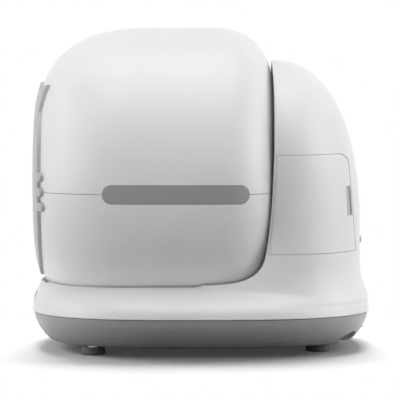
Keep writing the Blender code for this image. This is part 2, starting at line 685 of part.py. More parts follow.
def polar(radius, angle):
    """A point (x, z) at an angle in degrees clockwise from the top, about the drum's axis."""
    turn = math.radians(angle)
    return radius * math.sin(turn), DRUM_AXIS_Z + radius * math.cos(turn)


def ear_outline(side):
    first, last = EAR_BASE_ANGLES
    root = RING_RADIUS - RING_WALL
    tip = EAR_TIP_RADIUS
    places = ((root, first), (tip - RING_WALL / 2, EAR_TIP_ANGLE - 1), (tip, EAR_TIP_ANGLE))
    places += ((tip - RING_WALL / 2, EAR_TIP_ANGLE + 1), (root, last), (root - RING_WALL, EAR_TIP_ANGLE))
    return [polar(radius, side * angle) for radius, angle in places]


def entrance_ring():
    """A bezel pressed on the drum's mouth, cut back to a circle save for its ears and whiskers."""
    ring = turned("entrance_ring", ring_section(), LIGHT_GREY)
    far = EAR_TIP_RADIUS + OVERRUN
    start_y = DRUM_NOSE_Y - OVERRUN
    end_y = DRUM_FRONT_SHOULDER_Y
    trim = turned(
        "ring_trim", [(end_y, far), (start_y, far), (start_y, RING_RADIUS), (end_y, RING_RADIUS)]
    )
    for side in (1, -1):
        cut(trim, extruded(f"ear_{side}", ear_outline(side), start_y - OVERRUN, end_y + OVERRUN, axis="Y"))
        for row in WHISKERS:
            centre = (side * RING_RADIUS, SEAM_Z + row * WHISKER_PITCH)
            length = 2 * (WHISKER_REACH - RING_RADIUS)
            shape = pill(length, WHISKER_HEIGHT, centre, 6)
            cut(trim, extruded(f"whisker_{side}_{row}", shape, start_y - OVERRUN, end_y + OVERRUN, axis="Y"))
    cut(ring, trim)
    smooth(ring)


def port_outline(inner, outer, half_angle, steps=10):
    """A kidney of (x, z) points over the drum's axis."""
    above = arc(outer, 90 - half_angle, 90 + half_angle, steps, (0, DRUM_AXIS_Z))
    below = arc(inner, 90 + half_angle, 90 - half_angle, steps, (0, DRUM_AXIS_Z))
    return above + below


def plate_front():
    """The rear plate's face inside the drum."""
    return DRUM_REAR_Y - DRUM_WALL - PLATE_SEAT - PLATE_FLANGE_THICKNESS


def rear_plate():
    """A disc behind the drum's rear opening: it holds the gear and hub and has the waste port."""
    rear = DRUM_REAR_Y
    front = plate_front()
    step = front + PLATE_FLANGE_THICKNESS
    radius = DRUM_REAR_RADIUS - GAP
    flange = DRUM_REAR_RADIUS + PLATE_FLANGE_REACH
    plate = turned(
        "drum_rear_plate",
        [(rear, 0), (rear, radius), (step, radius), (step, flange), (front, flange), (front, 0)],
        WHITE,
    )
    port = port_outline(PORT_INNER_RADIUS, PORT_OUTER_RADIUS, PORT_HALF_ANGLE)
    cut(plate, extruded("waste_port", port, front - OVERRUN, rear + OVERRUN, axis="Y"))
    cut(plate, rod("hub_socket", 0, DRUM_AXIS_Z, front - OVERRUN, rear + OVERRUN, HUB_RADIUS + GAP, HUB_SIDES))
    smooth(plate)


def drum_hub():
    """The journal on which the drum turns, flanged against the rear plate's inner face."""
    front = plate_front()
    flange_y = front - GAP - HUB_FLANGE_THICKNESS
    end = BULKHEAD_FRONT_Y + BEARING_LENGTH + RETAINER_THICKNESS + 2 * GAP
    hub = turned(
        "drum_hub",
        [
            (end, 0),
            (end, HUB_RADIUS),
            (front - GAP, HUB_RADIUS),
            (front - GAP, HUB_FLANGE_RADIUS),
            (flange_y, HUB_FLANGE_RADIUS),
            (flange_y, 0),
        ],
        INNER_GREY,
        sides=HUB_SIDES,
    )
    smooth(hub)


def hub_retainer():
    start = BULKHEAD_FRONT_Y + BEARING_LENGTH + GAP
    end = start + RETAINER_THICKNESS
    bore = HUB_RADIUS + GAP
    ring = turned(
        "hub_retainer",
        [(end, RETAINER_RADIUS), (start, RETAINER_RADIUS), (start, bore), (end, bore)],
        STEEL,
        sides=HUB_SIDES,
    )
    smooth(ring)


def hub_bearing():
    """A flanged plain bush in the bulkhead."""
    bore = running_bore(HUB_RADIUS, HUB_SIDES)
    outer = HUB_RADIUS + BEARING_WALL
    front = BULKHEAD_FRONT_Y - GAP
    flange_y = front - BEARING_FLANGE_THICKNESS
    end = BULKHEAD_FRONT_Y + BEARING_LENGTH
    bush = turned(
        "hub_bearing",
        [
            (end, outer),
            (front, outer),
            (front, BEARING_FLANGE_RADIUS),
            (flange_y, BEARING_FLANGE_RADIUS),
            (flange_y, bore),
            (end, bore),
        ],
        NYLON,
        sides=HUB_SIDES,
    )
    smooth(bush)


def involute_angle(base, radius):
    """How far an involute has turned by the time it reaches a radius."""
    if radius <= base:
        return 0
    roll = math.sqrt((radius / base) ** 2 - 1)
    return roll - math.atan(roll)


def tooth_radii(teeth, flank_steps):
    pitch = GEAR_MODULE * teeth / 2
    tip = pitch + GEAR_ADDENDUM_SHARE * GEAR_MODULE
    root = pitch - GEAR_DEDENDUM_SHARE * GEAR_MODULE
    base = pitch * math.cos(math.radians(GEAR_PRESSURE_ANGLE))
    start = max(root, base)
    flank = [start + (tip - start) * i / flank_steps for i in range(flank_steps + 1)]
    return pitch, base, root, flank


def gear_outline(teeth, centre_z, flank_steps, phase):
    """A spur gear's outline: involute flanks thinned by half the backlash, straight roots."""
    pitch, base, root, flank = tooth_radii(teeth, flank_steps)
    thick = math.pi / (2 * teeth) - GEAR_BACKLASH / (2 * pitch)
    points = []
    for tooth in range(teeth):
        middle = 2 * math.pi * (tooth + phase) / teeth
        side = []
        for radius in [root] + flank if root < flank[0] else flank:
            half = thick + involute_angle(base, pitch) - involute_angle(base, radius)
            side.append((radius, half))
        for radius, half in side:
            points.append((radius * math.sin(middle - half), radius * math.cos(middle - half)))
        for radius, half in side[::-1]:
            points.append((radius * math.sin(middle + half), radius * math.cos(middle + half)))
    return [(x, centre_z + z) for x, z in points]


def ring_gear():
    """The ring gear on the drum's rear, with a gap between two teeth at the very bottom."""
    outline = gear_outline(GEAR_TEETH, DRUM_AXIS_Z, 1, 0.5)
    gear = extruded("ring_gear", outline, GEAR_FRONT_Y, GEAR_REAR_Y, NYLON, axis="Y")
    _, _, root, _ = tooth_radii(GEAR_TEETH, 1)
    bore = rod(
        "ring_gear_bore", 0, DRUM_AXIS_Z, GEAR_FRONT_Y - OVERRUN, GEAR_REAR_Y + OVERRUN, root - GEAR_RIM, DRUM_SIDES
    )
    cut(gear, bore)
    return gear


def drive_pinion():
    """The pinion and its shaft, which runs back through the bulkhead into the gearbox."""
    outline = gear_outline(PINION_TEETH, PINION_Z, 2, 0)
    pinion = extruded("drive_pinion", outline, GEAR_FRONT_Y, GEAR_REAR_Y, NYLON, axis="Y")
    end = gearbox_front() - GAP
    start = (GEAR_FRONT_Y + GEAR_REAR_Y) / 2
    cut(pinion, rod("pinion_shaft", 0, PINION_Z, start, end, PINION_SHAFT_RADIUS, SHAFT_SIDES), "UNION")


def gearbox_front():
    return BULKHEAD_REAR_Y + GAP + MOTOR_BRACKET_THICKNESS + GAP


def litter_sieve():
    """A slotted plate across the upper half: clean litter drops through it as the drum turns."""
    z = DRUM_AXIS_Z + SIEVE_RISE
    reach = DRUM_RADIUS + OVERRUN
    low = (-reach, SIEVE_FRONT_Y, z)
    high = (reach, SIEVE_REAR_Y, z + SIEVE_THICKNESS)
    sieve = box("litter_sieve", low, high, LIGHT_GREY)
    cut(sieve, drum_solid("sieve_edge", -DRUM_WALL - GAP), "INTERSECT")
    half = math.sqrt((DRUM_RADIUS - DRUM_WALL) ** 2 - SIEVE_RISE**2) - 3 * SIEVE_BORDER
    count = int(half / SIEVE_SLOT_PITCH)
    length = SIEVE_REAR_Y - SIEVE_FRONT_Y - 2 * SIEVE_BORDER
    middle = (SIEVE_FRONT_Y + SIEVE_REAR_Y) / 2
    for i in range(-count, count + 1):
        slot = pill(length, SIEVE_SLOT_WIDTH, (middle, i * SIEVE_SLOT_PITCH), 2)
        across = [(y, x) for x, y in slot]
        cut(sieve, extruded(f"sieve_slot_{i}", across, z - OVERRUN, z + OVERRUN, axis="Z"))


def lip_outline():
    """What the drum side's cut takes off the tower, in side view."""
    top = TOWER_TOP_Z + OVERRUN
    front = TOWER_FRONT_Y - OVERRUN
    curve = lip_curve()
    return curve + [(curve[-1][0], top), (front, top), (front, curve[0][1])]


def lip_curve():
    """(y, z) points up the tower's lip."""
    run = LIP_Y - LIP_START_Y
    rise = TOWER_TOP_Z - LIP_START_Z
    return [(LIP_START_Y + run * along, LIP_START_Z + rise * up) for along, up in LIP_SHARES]


def lip_y(z):
    """Where the tower's lip lies at a height."""
    curve = lip_curve()
    for (y0, z0), (y1, z1) in zip(curve, curve[1:]):
        if z0 <= z <= z1:
            return y0 + (y1 - y0) * (z - z0) / (z1 - z0)
    return LIP_Y


def well_profile(offset, end):
    """The drum's space: its own form offset, deeper where the ring turns, then plain back to the bulkhead."""
    extra = offset - DRUM_CLEARANCE
    radius = WELL_REAR_RADIUS + extra
    step = EAR_TIP_RADIUS + RING_CLEARANCE + extra
    ring_offset = RING_THICKNESS + RING_CLEARANCE + extra
    reaches = (DRUM_FRONT_HUB_RADIUS, DRUM_MOUTH_RADIUS, (DRUM_MOUTH_RADIUS + step) / 2, step)
    nose = [drum_front(ring_offset, reach)[0] for reach in reaches]
    profile = nose + drum_front(offset, step) + drum_rear(offset, radius) + [(end, radius), (end, 0)]
    return [(profile[0][0], 0)] + profile


def body_shell():
    """The white moulding: pillow and tower in one, with the drum's well hanging inside it."""
    shell = loft("body_shell", pillow_rings(0), WHITE)
    half = TOWER_WIDTH / 2 + FLARE_SIDE + OVERRUN
    outside = cut(tower("tower_outside", 0), extruded("lip_cut", lip_outline(), -half, half))
    cut(shell, outside, "UNION")
    well = turned("well_outside", well_profile(DRUM_CLEARANCE + WELL_WALL, BULKHEAD_FRONT_Y - GAP)[::-1])
    reach = DRUM_RADIUS + OVERRUN
    low = (-reach, DRUM_NOSE_Y - OVERRUN, PAN_BOTTOM_Z)
    high = (reach, BULKHEAD_FRONT_Y, RIM_Z - SHELL_WALL / 2)
    cut(well, box("well_reach", low, high), "INTERSECT")
    core = loft("pillow_inside", pillow_rings(SHELL_WALL))
    low = (-HALF_WIDTH, TOWER_FRONT_Y - OVERRUN, PAN_BOTTOM_Z)
    high = (HALF_WIDTH, BULKHEAD_FRONT_Y - 2 * GAP, TOWER_TOP_Z + OVERRUN)
    inside = cut(tower("tower_inside", SHELL_WALL), box("tower_solid_front", low, high))
    cut(core, inside, "UNION")
    cut(core, well)
    cut(shell, well, "UNION")
    cut(shell, core)
    cut(shell, turned("drum_space", well_profile(DRUM_CLEARANCE, BULKHEAD_REAR_Y)[::-1]))
    opening = panel_prism("panel_opening", 0)
    cut(shell, cut(opening, panel_landing()))
    for side in (1, -1):
        cut(shell, roller_slot(side))
    low_y = -HALF_LENGTH - OVERRUN
    high_y = DRUM_NOSE_Y + OVERRUN / 2
    cut(shell, extruded("bezel_hole", bezel_outline(GAP), low_y, high_y, axis="Y"))
    hole_end = TOWER_REAR_Y + OVERRUN
    radius = running_bore(REAR_BUTTON_RADIUS, BUTTON_SIDES)
    cut(shell, rod("rear_button_hole", 0, REAR_BUTTON_Z, BIN_REAR_Y, hole_end, radius, BUTTON_SIDES))
    smooth(shell)


def panel_outline(margin):
    """The drawer panel in side view: its front edge runs beside the lip, its rear edge leans."""
    bottom = PANEL_BOTTOM_Z + margin
    top = PANEL_TOP_Z - margin
    lip = PANEL_LIP + margin
    front = [(lip_y(z) + lip, z) for z in (top, (top * 2 + bottom) / 3, (top + bottom * 2) / 3, bottom)]
    rear_bottom = PANEL_REAR_BOTTOM_Y - margin
    rear_top = PANEL_REAR_TOP_Y - margin
    corner = arc(PANEL_CORNER, 0, 90, 3, (rear_top - PANEL_CORNER, top - PANEL_CORNER))
    return front + [(rear_bottom, bottom)] + corner


def panel_prism(name, margin):
    return extruded(name, panel_outline(margin), PANEL_INNER_X, TOWER_WIDTH / 2 + OVERRUN)


def panel_landing():
    """The shell's own plastic behind the panel's front strip, ahead of the bulkhead."""
    landing = tower("panel_landing", SHELL_WALL + GAP)
    low = (-HALF_WIDTH, TOWER_FRONT_Y - OVERRUN, PAN_BOTTOM_Z)
    high = (HALF_WIDTH, BULKHEAD_FRONT_Y - 3 * GAP, TOWER_TOP_Z + OVERRUN)
    return cut(landing, box("landing_reach", low, high), "INTERSECT")


def drawer_front():
    """The panel that closes the drawer's side of the tower, with two ribs to the bin's end."""
    panel = extruded("drawer_front", panel_outline(GAP), PANEL_INNER_X, TOWER_WIDTH / 2 + OVERRUN, WHITE)
    cut(panel, tower("panel_face", 0), "INTERSECT")
    core = tower("panel_back", SHELL_WALL)
    for name, z in (("low", BIN_BOTTOM_Z + PANEL_RIB_MARGIN), ("high", BIN_TOP_Z - PANEL_RIB_MARGIN)):
        low = (BIN_HALF_LENGTH + GAP, BIN_FRONT_Y + BIN_FRONT_CORNER, z - PANEL_RIB_WIDTH / 2)
        high = (TOWER_WIDTH / 2 + OVERRUN, BIN_REAR_Y - BIN_CORNER, z + PANEL_RIB_WIDTH / 2)
        cut(core, box(f"panel_rib_{name}", low, high))
    cut(panel, core)
    cut(panel, grip_prism("grip_opening", 0))
    smooth(panel)


def panel_rear_y(z):
    share = (z - PANEL_BOTTOM_Z) / (PANEL_TOP_Z - PANEL_BOTTOM_Z)
    return PANEL_REAR_BOTTOM_Y + (PANEL_REAR_TOP_Y - PANEL_REAR_BOTTOM_Y) * share


def grip_prism(name, margin, colour=None):
    """The finger grip in side view: a tall trapezium just inside the panel's rear edge."""
    bottom = GRIP_BOTTOM_Z + margin
    top = GRIP_TOP_Z - margin
    rear = GRIP_EDGE + margin
    front = GRIP_FRONT_Y + margin
    lean = panel_rear_y(bottom) - panel_rear_y(top)
    outline = [(front - lean, top), (front, bottom), (panel_rear_y(bottom) - rear, bottom)]
    outline.append((panel_rear_y(top) - rear, top))
    return extruded(name, outline, PANEL_INNER_X, TOWER_WIDTH / 2 + OVERRUN, colour)


def drawer_grip():
    """A grey finger cup sunk in the panel."""
    grip = grip_prism("drawer_grip", GAP, MID_GREY)
    cut(grip, tower("grip_face", 0), "INTERSECT")
    cut(grip, tower("grip_back", GRIP_DEPTH + GRIP_WALL))
    hollow = grip_prism("grip_hollow", GAP + GRIP_WALL)
    cut(hollow, tower("grip_floor", GRIP_DEPTH))
    cut(grip, hollow)
    smooth(grip)


def bin_outline(margin, steps=5):
    """The bin in plan: square corners to the drum, wide round ones to the tower's rear."""
    half = BIN_HALF_LENGTH - margin
    front = BIN_FRONT_Y + margin
    rear = BIN_REAR_Y - margin
    small = BIN_FRONT_CORNER
    large = (rear - front - small) * BIN_CORNER_SHARE
    points = arc(large, 0, 90, steps, (half - large, rear - large))
    points += arc(large, 90, 180, steps, (-half + large, rear - large))
    points += arc(small, 180, 270, steps // 2, (-half + small, front + small))
    points += arc(small, 270, 360, steps // 2, (half - small, front + small))
    return points


def bin_rings(inset, bottom, top):
    levels = ((bottom, BIN_TAPER + inset), (top, inset))
    return [[(x, y, z) for x, y in bin_outline(margin)] for z, margin in levels]


def waste_bin():
    """An open bin with drafted walls."""
    tub = loft("waste_bin", bin_rings(0, BIN_BOTTOM_Z, BIN_TOP_Z), INNER_GREY)
    cut(tub, loft("bin_inside", bin_rings(BIN_WALL, BIN_BOTTOM_Z + BIN_WALL, BIN_TOP_Z + OVERRUN)))
    smooth(tub)


def bag_frame():
    """A frame that lies on the bin's rim and pins the bag's edge to it."""
    bottom = BIN_TOP_Z + GAP
    top = bottom + FRAME_HEIGHT
    frame = extruded("bag_frame", bin_outline(0), bottom, top, MID_GREY, axis="Z")
    inner = bin_outline(BIN_WALL + FRAME_OVERHANG)
    cut(frame, extruded("bag_frame_opening", inner, bottom - OVERRUN, top + OVERRUN, axis="Z"))
    smooth(frame)


def bin_shelf():
    """The shelf that closes off the drive below the drawer, with two rails for the bin."""
    bottom = SHELF_TOP_Z - SHELF_THICKNESS
    reach = TOWER_WIDTH / 2 + OVERRUN
    front = BULKHEAD_REAR_Y + GAP
    shelf = box("bin_shelf", (-reach, front, bottom), (reach, TOWER_REAR_Y, SHELF_TOP_Z), INNER_GREY)
    cut(shelf, tower("shelf_edge", SHELL_WALL + GAP), "INTERSECT")
    cut(shelf, panel_rib_clear())
    half = BIN_HALF_LENGTH - BIN_CORNER
    inset = BIN_TAPER + RAIL_WIDTH
    for name, y in (("front", BIN_FRONT_Y + inset), ("rear", BIN_REAR_Y - inset - RAIL_WIDTH)):
        low = (-half, y, SHELF_TOP_Z - SHELF_THICKNESS / 2)
        high = (half, y + RAIL_WIDTH, SHELF_TOP_Z + RAIL_HEIGHT)
        cut(shelf, box(f"rail_{name}", low, high), "UNION")


def panel_rib_clear():
    """Room on the shelf for the drawer panel's lower edge as it leaves."""
    outline = panel_outline(-GAP)
    return cut(
        extruded("shelf_notch", outline, PANEL_INNER_X, TOWER_WIDTH / 2 + OVERRUN),
        tower("shelf_notch_core", SHELL_WALL + GAP),
    )


def bulkhead():
    """The plate across the tower's mouth."""
    rear = BULKHEAD_REAR_Y
    reach = HALF_WIDTH
    low = (-reach, BULKHEAD_FRONT_Y, PAN_FLOOR_Z + GAP)
    high = (reach, rear, TOWER_TOP_Z)
    plate = box("bulkhead", low, high, INNER_GREY)
    fit = tower("bulkhead_room", SHELL_WALL + GAP)
    half = WELL_REAR_RADIUS
    foot = box("bulkhead_foot", (-half, low[1] - OVERRUN, low[2] - OVERRUN), (half, rear + OVERRUN, FLARE_TOP_Z))
    cut(fit, foot, "UNION")
    cut(plate, fit, "INTERSECT")
    span = (BULKHEAD_FRONT_Y - OVERRUN, rear + OVERRUN)
    window = port_outline(
        PORT_INNER_RADIUS - WINDOW_MARGIN, PORT_OUTER_RADIUS + WINDOW_MARGIN, WINDOW_HALF_ANGLE
    )
    cut(plate, extruded("waste_window", window, *span, axis="Y"))
    bush = HUB_RADIUS + BEARING_WALL + GAP
    cut(plate, rod("bearing_seat", 0, DRUM_AXIS_Z, *span, bush / math.cos(math.pi / HUB_SIDES), HUB_SIDES))
    cut(plate, rod("shaft_hole", 0, PINION_Z, *span, 2 * PINION_SHAFT_RADIUS, SHAFT_SIDES))


def waste_chute():
    """A hood behind the waste window that leads clumps down into the bin."""
    front = BULKHEAD_REAR_Y + GAP
    rear = front + CHUTE_DEPTH
    margin = WINDOW_MARGIN + CHUTE_WALL
    outer = port_outline(PORT_INNER_RADIUS - margin, PORT_OUTER_RADIUS + margin, WINDOW_HALF_ANGLE + 4)
    chute = extruded("waste_chute", outer, front, rear, INNER_GREY, axis="Y")
    inner = port_outline(
        PORT_INNER_RADIUS - WINDOW_MARGIN, PORT_OUTER_RADIUS + WINDOW_MARGIN, WINDOW_HALF_ANGLE
    )
    cut(chute, extruded("chute_inside", inner, front - OVERRUN, rear + OVERRUN, axis="Y"))
    cut(chute, tower("chute_room", SHELL_WALL + GAP), "INTERSECT")
    top = BIN_TOP_Z + FRAME_HEIGHT + 2 * GAP + CHUTE_FALL
    reach = PORT_OUTER_RADIUS
    low = (-reach, front + CHUTE_WALL, BIN_BOTTOM_Z)
    cut(chute, box("chute_outlet", low, (reach, rear + OVERRUN, top)))


def drive_motor():
    """A gearmotor behind the bulkhead, its output shaft towards the drum."""
    front = gearbox_front()
    low = (-GEARBOX_WIDTH / 2, front, PINION_Z - GEARBOX_HEIGHT / 2)
    high = (GEARBOX_WIDTH / 2, front + GEARBOX_LENGTH, PINION_Z + GEARBOX_HEIGHT / 2)
    motor = box("drive_motor", low, high, BLACK)
    start = front + GEARBOX_LENGTH - GAP
    can = rod("motor_can", 0, PINION_Z, start, start + MOTOR_LENGTH, MOTOR_RADIUS, BUTTON_SIDES)
    cut(motor, can, "UNION")


def motor_bracket():
    start = BULKHEAD_REAR_Y + GAP
    end = start + MOTOR_BRACKET_THICKNESS
    low = (-MOTOR_BRACKET_WIDTH / 2, start, PINION_Z - MOTOR_BRACKET_HEIGHT / 2)
    high = (MOTOR_BRACKET_WIDTH / 2, end, PINION_Z + MOTOR_BRACKET_HEIGHT / 2)
    bracket = box("motor_bracket", low, high, STEEL)
    cut(bracket, rod("bracket_hole", 0, PINION_Z, start - OVERRUN, end + OVERRUN, 2 * PINION_SHAFT_RADIUS, SHAFT_SIDES))


def bezel_outline(margin):
    return pill(BEZEL_LENGTH + 2 * margin, BEZEL_HEIGHT + 2 * margin, (0, PANEL_CENTRE_Z))


def front_skin(name, outline, colour):
    """A flush piece of the pillow's front: an outline carried through its wall."""
    piece = extruded(name, outline, -HALF_LENGTH - OVERRUN, DRUM_NOSE_Y + OVERRUN, colour, axis="Y")
    cut(piece, loft(f"{name}_face", pillow_rings(0)), "INTERSECT")
    return cut(piece, loft(f"{name}_back", pillow_rings(SHELL_WALL)))


def control_panel():
    """A dark bezel flush with the base's front, a smoked display window and two push buttons."""
    bezel = front_skin("control_bezel", bezel_outline(0), BLACK)
    hole = pill(DISPLAY_LENGTH, DISPLAY_HEIGHT, (0, PANEL_CENTRE_Z))
    start_y = -HALF_LENGTH - OVERRUN
    end_y = DRUM_NOSE_Y + OVERRUN
    cut(bezel, extruded("display_hole", hole, start_y, end_y, axis="Y"))
    glass = pill(DISPLAY_LENGTH - 2 * GAP, DISPLAY_HEIGHT - 2 * GAP, (0, PANEL_CENTRE_Z))
    front_skin("display_window", glass, SMOKED)
    for name, side in (("button_left", -1), ("button_right", 1)):
        x = side * BUTTON_SPACING / 2
        radius = running_bore(BUTTON_RADIUS, BUTTON_SIDES)
        cut(bezel, rod(f"{name}_hole", x, PANEL_CENTRE_Z, start_y, end_y, radius, BUTTON_SIDES))
        press_button(name, x)
    control_board()


def front_wall_y(z, x=0, inset=0):
    """The pillow's front face, or its inner face, at a height and a distance from the centre line."""
    height = (z - PAN_TOP_Z) / (RIM_Z - inset - PAN_TOP_Z)
    length, width = PILLOW_SHARES[0][1:]
    for (h0, l0, w0), (h1, l1, w1) in zip(PILLOW_SHARES, PILLOW_SHARES[1:]):
        if h0 <= height <= h1:
            between = (height - h0) / (h1 - h0)
            length = l0 + (l1 - l0) * between
            width = w0 + (w1 - w0) * between
    reach = HALF_LENGTH * length - inset + BASE_WIDE_Y
    across = (x / (HALF_WIDTH * width - inset)) ** BASE_FRONT_EXPONENT
    return BASE_WIDE_Y - reach * (1 - across) ** (1 / BASE_FRONT_EXPONENT)


def behind_bezel_y():
    """The plane just behind the bezel, over all of both buttons' flanges."""
    reach = BUTTON_RADIUS + BUTTON_FLANGE
    return front_wall_y(PANEL_CENTRE_Z + reach, BUTTON_SPACING / 2 + reach, SHELL_WALL) + GAP


def press_button(name, x):
    """A button flush with the bezel, with a flange behind it that keeps it in."""
    face = front_wall_y(PANEL_CENTRE_Z - BUTTON_RADIUS) + BUTTON_TRAVEL
    back = behind_bezel_y()
    button = rod(name, x, PANEL_CENTRE_Z, face, back + BUTTON_FLANGE / 2, BUTTON_RADIUS, BUTTON_SIDES, LIGHT_GREY)
    wide = BUTTON_RADIUS + BUTTON_FLANGE
    flange = rod(f"{name}_flange", x, PANEL_CENTRE_Z, back, back + BUTTON_FLANGE, wide, BUTTON_SIDES)
    cut(button, flange, "UNION")


def control_board():
    """The board behind the bezel, held off its back by two posts."""
    start = behind_bezel_y() + BUTTON_FLANGE + BUTTON_TRAVEL + GAP
    low = (-BOARD_LENGTH / 2, start, PANEL_CENTRE_Z - BOARD_HEIGHT / 2)
    high = (BOARD_LENGTH / 2, start + BOARD_THICKNESS, PANEL_CENTRE_Z + BOARD_HEIGHT / 2)
    board = box("control_board", low, high, BOARD_GREEN)
    room = loft("board_post_room", pillow_rings(SHELL_WALL + GAP))
    for side in (1, -1):
        x = side * BOARD_POST_X
        reach = start + BOARD_THICKNESS / 2
        post = rod(f"board_post_{side}", x, PANEL_CENTRE_Z, -HALF_LENGTH, reach, BOARD_POST_RADIUS, SHAFT_SIDES)
        cut(board, cut(post, room, "INTERSECT"), "UNION")


def rear_button():
    """A small button on the tower's rear, just over the shelf."""
    inner = TOWER_REAR_Y - SHELL_WALL - GAP
    face = TOWER_REAR_Y + REAR_BUTTON_PROUD
    button = rod("rear_button", 0, REAR_BUTTON_Z, inner - BUTTON_FLANGE, face, REAR_BUTTON_RADIUS, BUTTON_SIDES, LIGHT_GREY)
    wide = REAR_BUTTON_RADIUS + BUTTON_FLANGE / 2
    start = inner - 2 * BUTTON_FLANGE
    flange = rod("rear_button_flange", 0, REAR_BUTTON_Z, start, inner - BUTTON_FLANGE / 2, wide, BUTTON_SIDES)
    cut(button, flange, "UNION")


def roller_slot(side):
    """A window in the well's wall through which a roller reaches the drum."""
    half = ROLLER_RADIUS + SLOT_MARGIN
    width = ROLLER_WIDTH / 2 + BRACKET_CHEEK + SLOT_MARGIN
    orbit = DRUM_RADIUS + DRUM_CLEARANCE
    turn = math.radians(ROLLER_ANGLE)
    x = side * orbit * math.sin(turn)
    z = DRUM_AXIS_Z - orbit * math.cos(turn)
    thick = DRUM_CLEARANCE + WELL_WALL + SLOT_MARGIN
    low = (x - half, ROLLER_Y - width, z - thick)
    high = (x + half, ROLLER_Y + width, z + thick)
    return box(f"roller_slot_{side}", low, high, tilt=-side * ROLLER_ANGLE)


def support_rollers():
    """Two rollers, each on its own pin in a forked bracket on the pan's floor."""
    for name, side in (("left", -1), ("right", 1)):
        x = side * ROLLER_X
        half = ROLLER_WIDTH / 2
        roller = rod(f"roller_{name}", x, ROLLER_Z, ROLLER_Y - half, ROLLER_Y + half, ROLLER_RADIUS, HUB_SIDES, RUBBER)
        bore = running_bore(AXLE_RADIUS, SHAFT_SIDES)
        cut(roller, rod(f"roller_bore_{name}", x, ROLLER_Z, ROLLER_Y - 2 * half, ROLLER_Y + 2 * half, bore, SHAFT_SIDES))
        smooth(roller)
        cheek = half + BRACKET_SIDE_GAP + BRACKET_CHEEK
        rod(f"roller_axle_{name}", x, ROLLER_Z, ROLLER_Y - cheek, ROLLER_Y + cheek, AXLE_RADIUS, SHAFT_SIDES, STEEL)
        roller_bracket(name, x, cheek)


def roller_bracket(name, x, cheek):
    wide = BRACKET_HALF_WIDTH
    foot_z = PAN_FLOOR_Z + GAP
    head = arc(BRACKET_HEAD, 0, 180, 6, (x, ROLLER_Z))
    outline = [(x + wide, foot_z)] + head + [(x - wide, foot_z)]
    bracket = extruded(f"roller_bracket_{name}", outline, ROLLER_Y - cheek, ROLLER_Y + cheek, INNER_GREY, axis="Y")
    inner = ROLLER_WIDTH / 2 + BRACKET_SIDE_GAP
    reach = ROLLER_RADIUS + wide
    low = (x - reach, ROLLER_Y - inner, foot_z + BRACKET_FOOT_THICKNESS)
    high = (x + reach, ROLLER_Y + inner, ROLLER_Z + reach)
    cut(bracket, box(f"bracket_fork_{name}", low, high))
    bore = (AXLE_RADIUS + GAP) / math.cos(math.pi / SHAFT_SIDES)
    cut(bracket, rod(f"bracket_bore_{name}", x, ROLLER_Z, ROLLER_Y - 2 * cheek, ROLLER_Y + 2 * cheek, bore, SHAFT_SIDES))


def feet_places():
    return {
        "front_left": (-FOOT_FRONT_X, FOOT_FRONT_Y),
        "front_right": (FOOT_FRONT_X, FOOT_FRONT_Y),
        "rear_left": (-FOOT_REAR_X, FOOT_REAR_Y),
        "rear_right": (FOOT_REAR_X, FOOT_REAR_Y),
    }


def base_pan():
    """The grey tray under everything, with foot sockets, an inlet hole and two hand-holds."""
    pan = loft("base_pan", pan_rings(0, PAN_BOTTOM_Z, PAN_RIM_Z), PAN_GREY)
    inside = pan_rings(PAN_WALL, PAN_FLOOR_Z, PAN_RIM_Z)
    inside.append([(x, y, z + OVERRUN) for x, y, z in inside[-1]])
    core = loft("pan_inside", inside)
    top = HANDHOLD_TOP_Z + PAN_WALL
    for name, side in (("left", -1), ("right", 1)):
        cut(core, handhold(f"handhold_wall_{name}", side, PAN_WALL, top))
    cut(pan, core)
    for name, side in (("left", -1), ("right", 1)):
        cut(pan, handhold(f"handhold_{name}", side, 0, HANDHOLD_TOP_Z))
    for name, (x, y) in feet_places().items():
        hole = (FOOT_SPIGOT_RADIUS + GAP) / math.cos(math.pi / SHAFT_SIDES)
        profile = [(PAN_FLOOR_Z + OVERRUN, 0), (PAN_FLOOR_Z + OVERRUN, hole), (-OVERRUN, hole), (-OVERRUN, 0)]
        cut(pan, turned(f"foot_hole_{name}", profile, None, (x, y, 0), SHAFT_SIDES, upright=True))
    half = INLET_WIDTH / 2 + GAP
    tall = INLET_HEIGHT / 2 + GAP
    low = (-half, HALF_LENGTH - INLET_DEPTH - OVERRUN, INLET_Z - tall)
    cut(pan, box("inlet_hole", low, (half, HALF_LENGTH + OVERRUN, INLET_Z + tall)))
    smooth(pan)


def handhold(name, side, margin, top):
    """An arched recess low in a rear corner, where fingers lift the machine."""
    x = side * HANDHOLD_X
    half = HANDHOLD_WIDTH / 2 + margin
    bottom = PAN_BOTTOM_Z - OVERRUN
    arch = arc(half, 0, 180, 8)
    rise = top - PAN_BOTTOM_Z
    outline = [(x + across, PAN_BOTTOM_Z + up * rise / half) for across, up in arch]
    outline = [(x + half, bottom)] + outline + [(x - half, bottom)]
    inner = rear_wall_y(HANDHOLD_X) - HANDHOLD_DEPTH - margin
    return extruded(name, outline, inner, HALF_LENGTH + OVERRUN, axis="Y")


def rear_wall_y(x):
    """The base's rear edge in plan at a distance from the centre line."""
    share = (1 - (x / HALF_WIDTH) ** BASE_REAR_EXPONENT) ** (1 / BASE_REAR_EXPONENT)
    return BASE_WIDE_Y + (HALF_LENGTH - BASE_WIDE_Y) * share


